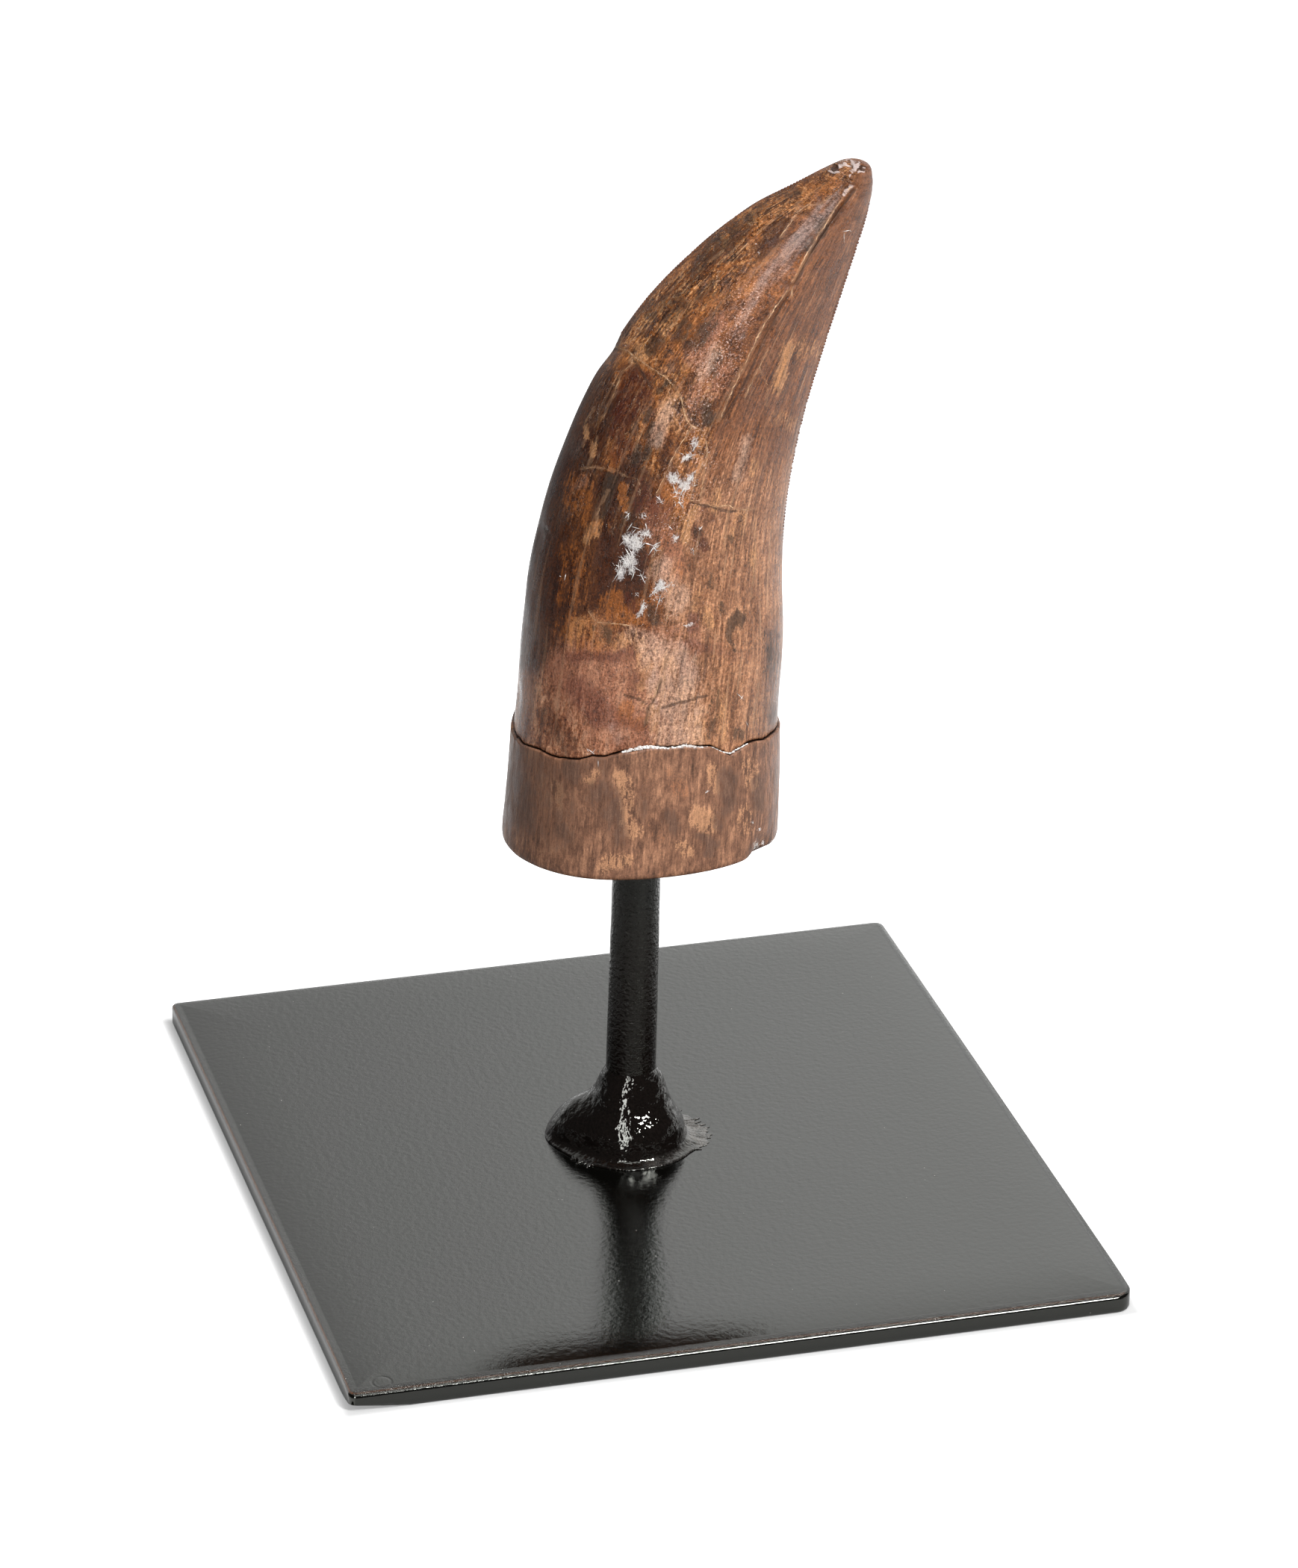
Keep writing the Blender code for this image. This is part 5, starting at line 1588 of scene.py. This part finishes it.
BLACK_PAINTS = {  # base tone, roughness, index, scale and depth of the peel, depth of the fine pebble
    "plate_paint": ((0.0015, 0.0015, 0.0012), 0.05, 1.71, 1250.0, 0.000028, 0.000010),
    "rod_paint": ((0.003, 0.0015, 0.001), 0.13, 1.52, 2000.0, 0.00018, 0.00003),
    "weld_paint": ((0.005, 0.0035, 0.003), 0.05, 1.58, 800.0, 0.00024, 0.00001),
}
DUST_SCALE = 900.0
# the film's grey is partly a painted sheen on the weld
FILM_AND_SHEEN_TONE, DUST_TONE, WORN_TONE = (0.150, 0.140, 0.130), (0.40, 0.38, 0.35), (0.200, 0.066, 0.020)


def paint_material(name, dents=()):
    """Black paint: orange peel, a finer pebble, sparse pale dust, and ring dents (pixel, radius)."""
    base, rough, index, peel, peel_depth, fine_depth = BLACK_PAINTS[name]
    p = new_paint(name)
    where = p.object_place()
    broad = p.noise(where, peel, 2, 0.5)
    fine = p.noise(where, peel * 4.5, 3, 0.7)
    dust = p.node("TexVoronoi", Vector=where, Scale=DUST_SCALE).outputs["Distance"]
    sparse = p.span(p.noise(where, DUST_SCALE * 0.9, 1, 0.5), 0.64, 0.70)
    dust = p.times(p.span(dust, 0.03, 0.09, 1.0, 0.0), sparse)
    # thin grey paint film on the weld, its grey partly a painted sheen
    film_and_sheen = p.times(p.attribute("smear"), p.span(p.noise(where, 450.0, 4, 0.7), 0.36, 0.62, 0.2, 1.0))
    colour = p.lay(p.mix(film_and_sheen, base, FILM_AND_SHEEN_TONE), DUST_TONE, dust)
    colour = p.shade(colour, p.span(fine, 0.35, 0.65, 0.6, 1.4))
    colour = p.lay(colour, WORN_TONE, p.attribute("worn"), p.span(fine, 0.35, 0.6, 0.4, 1.0))
    uneven = p.span(p.noise(where, 60.0, 3, 0.6), 0.3, 0.7, rough * 0.85, rough * 1.2)
    roughness = p.math("ADD", uneven, p.times(p.math("MAXIMUM", dust, film_and_sheen), 0.3))
    normal = p.bump(broad, 1.0, peel_depth)
    normal = p.bump(fine, 1.0, fine_depth, normal)
    normal = p.bump(p.times(fine, p.attribute("rim")), 1.0, 0.00014, normal)
    for pixel, radius in dents:
        middle = tuple(plate_place(*pixel))
        away = p.math("SUBTRACT", p.vector("DISTANCE", where, middle, output="Value"), radius * MM)
        ring = p.span(p.math("ABSOLUTE", away), 0.0, 0.0003, 0.0, 1.0)
        normal = p.bump(ring, 1.0, 0.000022, normal)
    return p.finish(Base_Color=colour, Roughness=roughness, Normal=normal, IOR=index,
                    Specular_Tint=(1.0, 1.02, 0.95))


# ---------------------------------------------------------------- floor, light and camera
FLOOR_RADIUS, FLOOR_SIDES, FLOOR_DROP = 3000.0, 64, 0.02
FLOOR_TONE, FLOOR_GLOW, FLOOR_SEEN, FLOOR_BESIDE = 0.45, 1.5, 1.0, 0.6
FLOOR_FAR_LEFT = 0.07  # tone beyond the picture, left of and before the object
# painted shadow along the plate's edge: how far it reaches, and the share of glow left at the edge
SHADE_REACH, SHADE_GLOW = 2.2, 0.30
WHITE = (1.0, 1.0, 1.0)
FRONT_LIGHT, BACK_LEFT_LIGHT, BACK_RIGHT_LIGHT, BACKGROUND_SEEN = 0.04, 0.80, 1.36, 1.2
LIGHT_AIM, LIGHT_DISTANCE = np.array((0.0, 0.0, 70.0)), 700
LIGHTS = (  # name, azimuth to the camera's right and elevation in degrees, width and height, power
    ("key", 40, 42, (140, 160), 5.2),
    ("front", -12, 24, (120, 420), 1.85),
    ("top", 10, 72, (400, 300), 1.0),
)


def make_floor():
    """Pale floor. It glows round and behind the object, and its glow is dimmed along the plate's edge as a
    painted shadow.
    """
    turn = np.linspace(0, 2 * math.pi, FLOOR_SIDES, endpoint=False)
    points = circle(turn, FLOOR_RADIUS) - (0, 0, FLOOR_DROP)
    p = new_paint("floor_white")
    where = p.object_place()
    place = p.node("SeparateXYZ", Vector=where)
    x, y = place.outputs["X"], place.outputs["Y"]
    past_x, past_y = (
        p.math("MAXIMUM", p.math("SUBTRACT", p.math("ABSOLUTE", value), size / 2 * MM), 0.0)
        for value, size in ((x, PLATE_WIDTH), (y, PLATE_DEPTH)))
    gap = p.math("SQRT", p.math("ADD", p.times(past_x, past_x), p.times(past_y, past_y)))
    # painted contact shadow: the floor's glow fades towards the plate's edge
    shade = p.span(gap, 0.0, SHADE_REACH * MM, SHADE_GLOW, 1.0)

    # Places in metres to the camera's right and away from it
    cos, sin = math.cos(CAMERA_TURN), math.sin(CAMERA_TURN)
    side = p.math("SUBTRACT", p.times(x, cos), p.times(y, sin))
    away = p.math("ADD", p.times(x, sin), p.times(y, cos))
    start = p.math("MAXIMUM", p.times(side, -0.32), p.times(side, -0.02))  # further back at the left
    reach = p.vector("LENGTH", where, output="Value")
    far = p.times(p.span(reach, 0.185, 0.235), p.span(side, -0.05, -0.10, 0.30, 0.9))
    behind = p.span(p.math("SUBTRACT", away, start), 0.02, 0.12)
    behind = p.times(behind, p.math("SUBTRACT", 1.0, far))

    far_left = p.span(p.math("MULTIPLY_ADD", away, 0.5, side), 0.0, -0.08)
    dark = p.times(p.span(gap, 0.06, 0.16), far_left)
    tone = p.mix(dark, (FLOOR_TONE,) * 3, (FLOOR_FAR_LEFT,) * 3)
    left_edge = -PLATE_WIDTH / 2 * MM
    beside = p.times(p.span(gap, 0.008, 0.018, FLOOR_BESIDE, 0.0),
                     p.span(x, left_edge - 0.001, left_edge, 1.0, 0.2))
    seen = p.times(p.camera_ray(), FLOOR_SEEN)
    glow = p.math("MAXIMUM", p.times(behind, FLOOR_GLOW), p.math("MAXIMUM", seen, beside))
    white = p.finish(Base_Color=tone, Roughness=1.0, Specular_IOR_Level=0.0,
                     Emission_Color=WHITE, Emission_Strength=p.times(shade, glow))
    floor = new_mesh("floor", points, [range(FLOOR_SIDES)], white)


def make_world():
    """White studio: bright behind the object and to the right, dim in front of it."""
    world = bpy.data.worlds.new("studio")
    bpy.context.scene.world = world
    p = Paint(world)
    where = p.node("TexCoord").outputs["Generated"]
    back, right = (
        p.vector("DOT_PRODUCT", where, tuple(turned(np.array(axis), -CAMERA_TURN)), output="Value")
        for axis in ((0.0, 1.0, 0.0), (1.0, 0.0, 0.0)))
    behind = p.span(back, 0.30, 0.80)
    glow = p.span(right, -0.085, 0.03, BACK_LEFT_LIGHT, BACK_RIGHT_LIGHT)
    level = p.math("ADD", p.times(p.math("SUBTRACT", glow, FRONT_LIGHT), behind), FRONT_LIGHT)
    seen = p.times(p.camera_ray(), BACKGROUND_SEEN)
    p.finish("Background", Color=WHITE, Strength=p.math("MAXIMUM", seen, level))


def make_light(name, azimuth, elevation, size, power):
    """Area light aimed at the tooth."""
    around, up = math.radians(azimuth), math.radians(elevation)
    offset = np.array((math.sin(around) * math.cos(up), -math.cos(around) * math.cos(up), math.sin(up)))
    place = LIGHT_AIM + LIGHT_DISTANCE * turned(offset, -CAMERA_TURN)
    data = bpy.data.lights.new(name, "AREA")
    data.shape = "RECTANGLE"
    data.size, data.size_y = size[0] * MM, size[1] * MM
    data.energy = power
    item = bpy.data.objects.new(name, data)
    item.location = Vector(place) * MM
    item.rotation_euler = Vector(LIGHT_AIM - place).to_track_quat("-Z", "Y").to_euler()
    bpy.context.scene.collection.objects.link(item)


def make_camera():
    place, (right, up, forward) = camera_axes()
    data = bpy.data.cameras.new("camera")
    data.lens = FOCAL_PIXELS / PHOTO_HEIGHT * SENSOR
    data.sensor_width = SENSOR
    data.clip_start, data.clip_end = CAMERA_CLIP
    camera = bpy.data.objects.new("camera", data)
    axes = Matrix((right, up, -forward)).transposed()
    camera.matrix_world = Matrix.Translation(Vector(place) * MM) @ axes.to_4x4()
    bpy.context.scene.collection.objects.link(camera)
    bpy.context.scene.camera = camera


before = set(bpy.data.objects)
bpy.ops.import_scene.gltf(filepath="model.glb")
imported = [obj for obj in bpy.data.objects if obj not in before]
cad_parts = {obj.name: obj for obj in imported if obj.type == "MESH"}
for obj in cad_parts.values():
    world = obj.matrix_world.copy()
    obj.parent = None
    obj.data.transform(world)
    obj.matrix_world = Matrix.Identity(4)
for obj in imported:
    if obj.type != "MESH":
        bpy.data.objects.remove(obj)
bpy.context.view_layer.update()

make_camera()
make_floor()
make_world()
for light in LIGHTS:
    make_light(*light)

crown_skin = make_crown(crown_material())
root_skin = make_root(root_material())
# cream lines: filled cracks, and partly painted highlight on the ridge's crest; dark lines: open cracks,
# and painted shade in its groove
make_lines("crack_fill_and_ridge_light", crown_skin, CREAM_LINES, line_material("crack_fill_and_ridge_light"), 101, 0.006)
make_lines("open_cracks_and_groove_shade", crown_skin, DARK_LINES, line_material("open_crack_and_groove_shade"), 102, 0.004)
make_slivers(crown_skin, root_skin, line_material("mineral"))
make_glue(crown_skin, root_skin, line_material("glue"))
tooth_edge = line_material("serration")
for serration in SERRATIONS:
    make_serration(*serration, tooth_edge)
make_plate(paint_material("plate_paint", dents=(RING_DENT,)))
make_rod(paint_material("rod_paint"))
make_weld(paint_material("weld_paint"))

scene = bpy.context.scene
scene.view_settings.view_transform = "Standard"
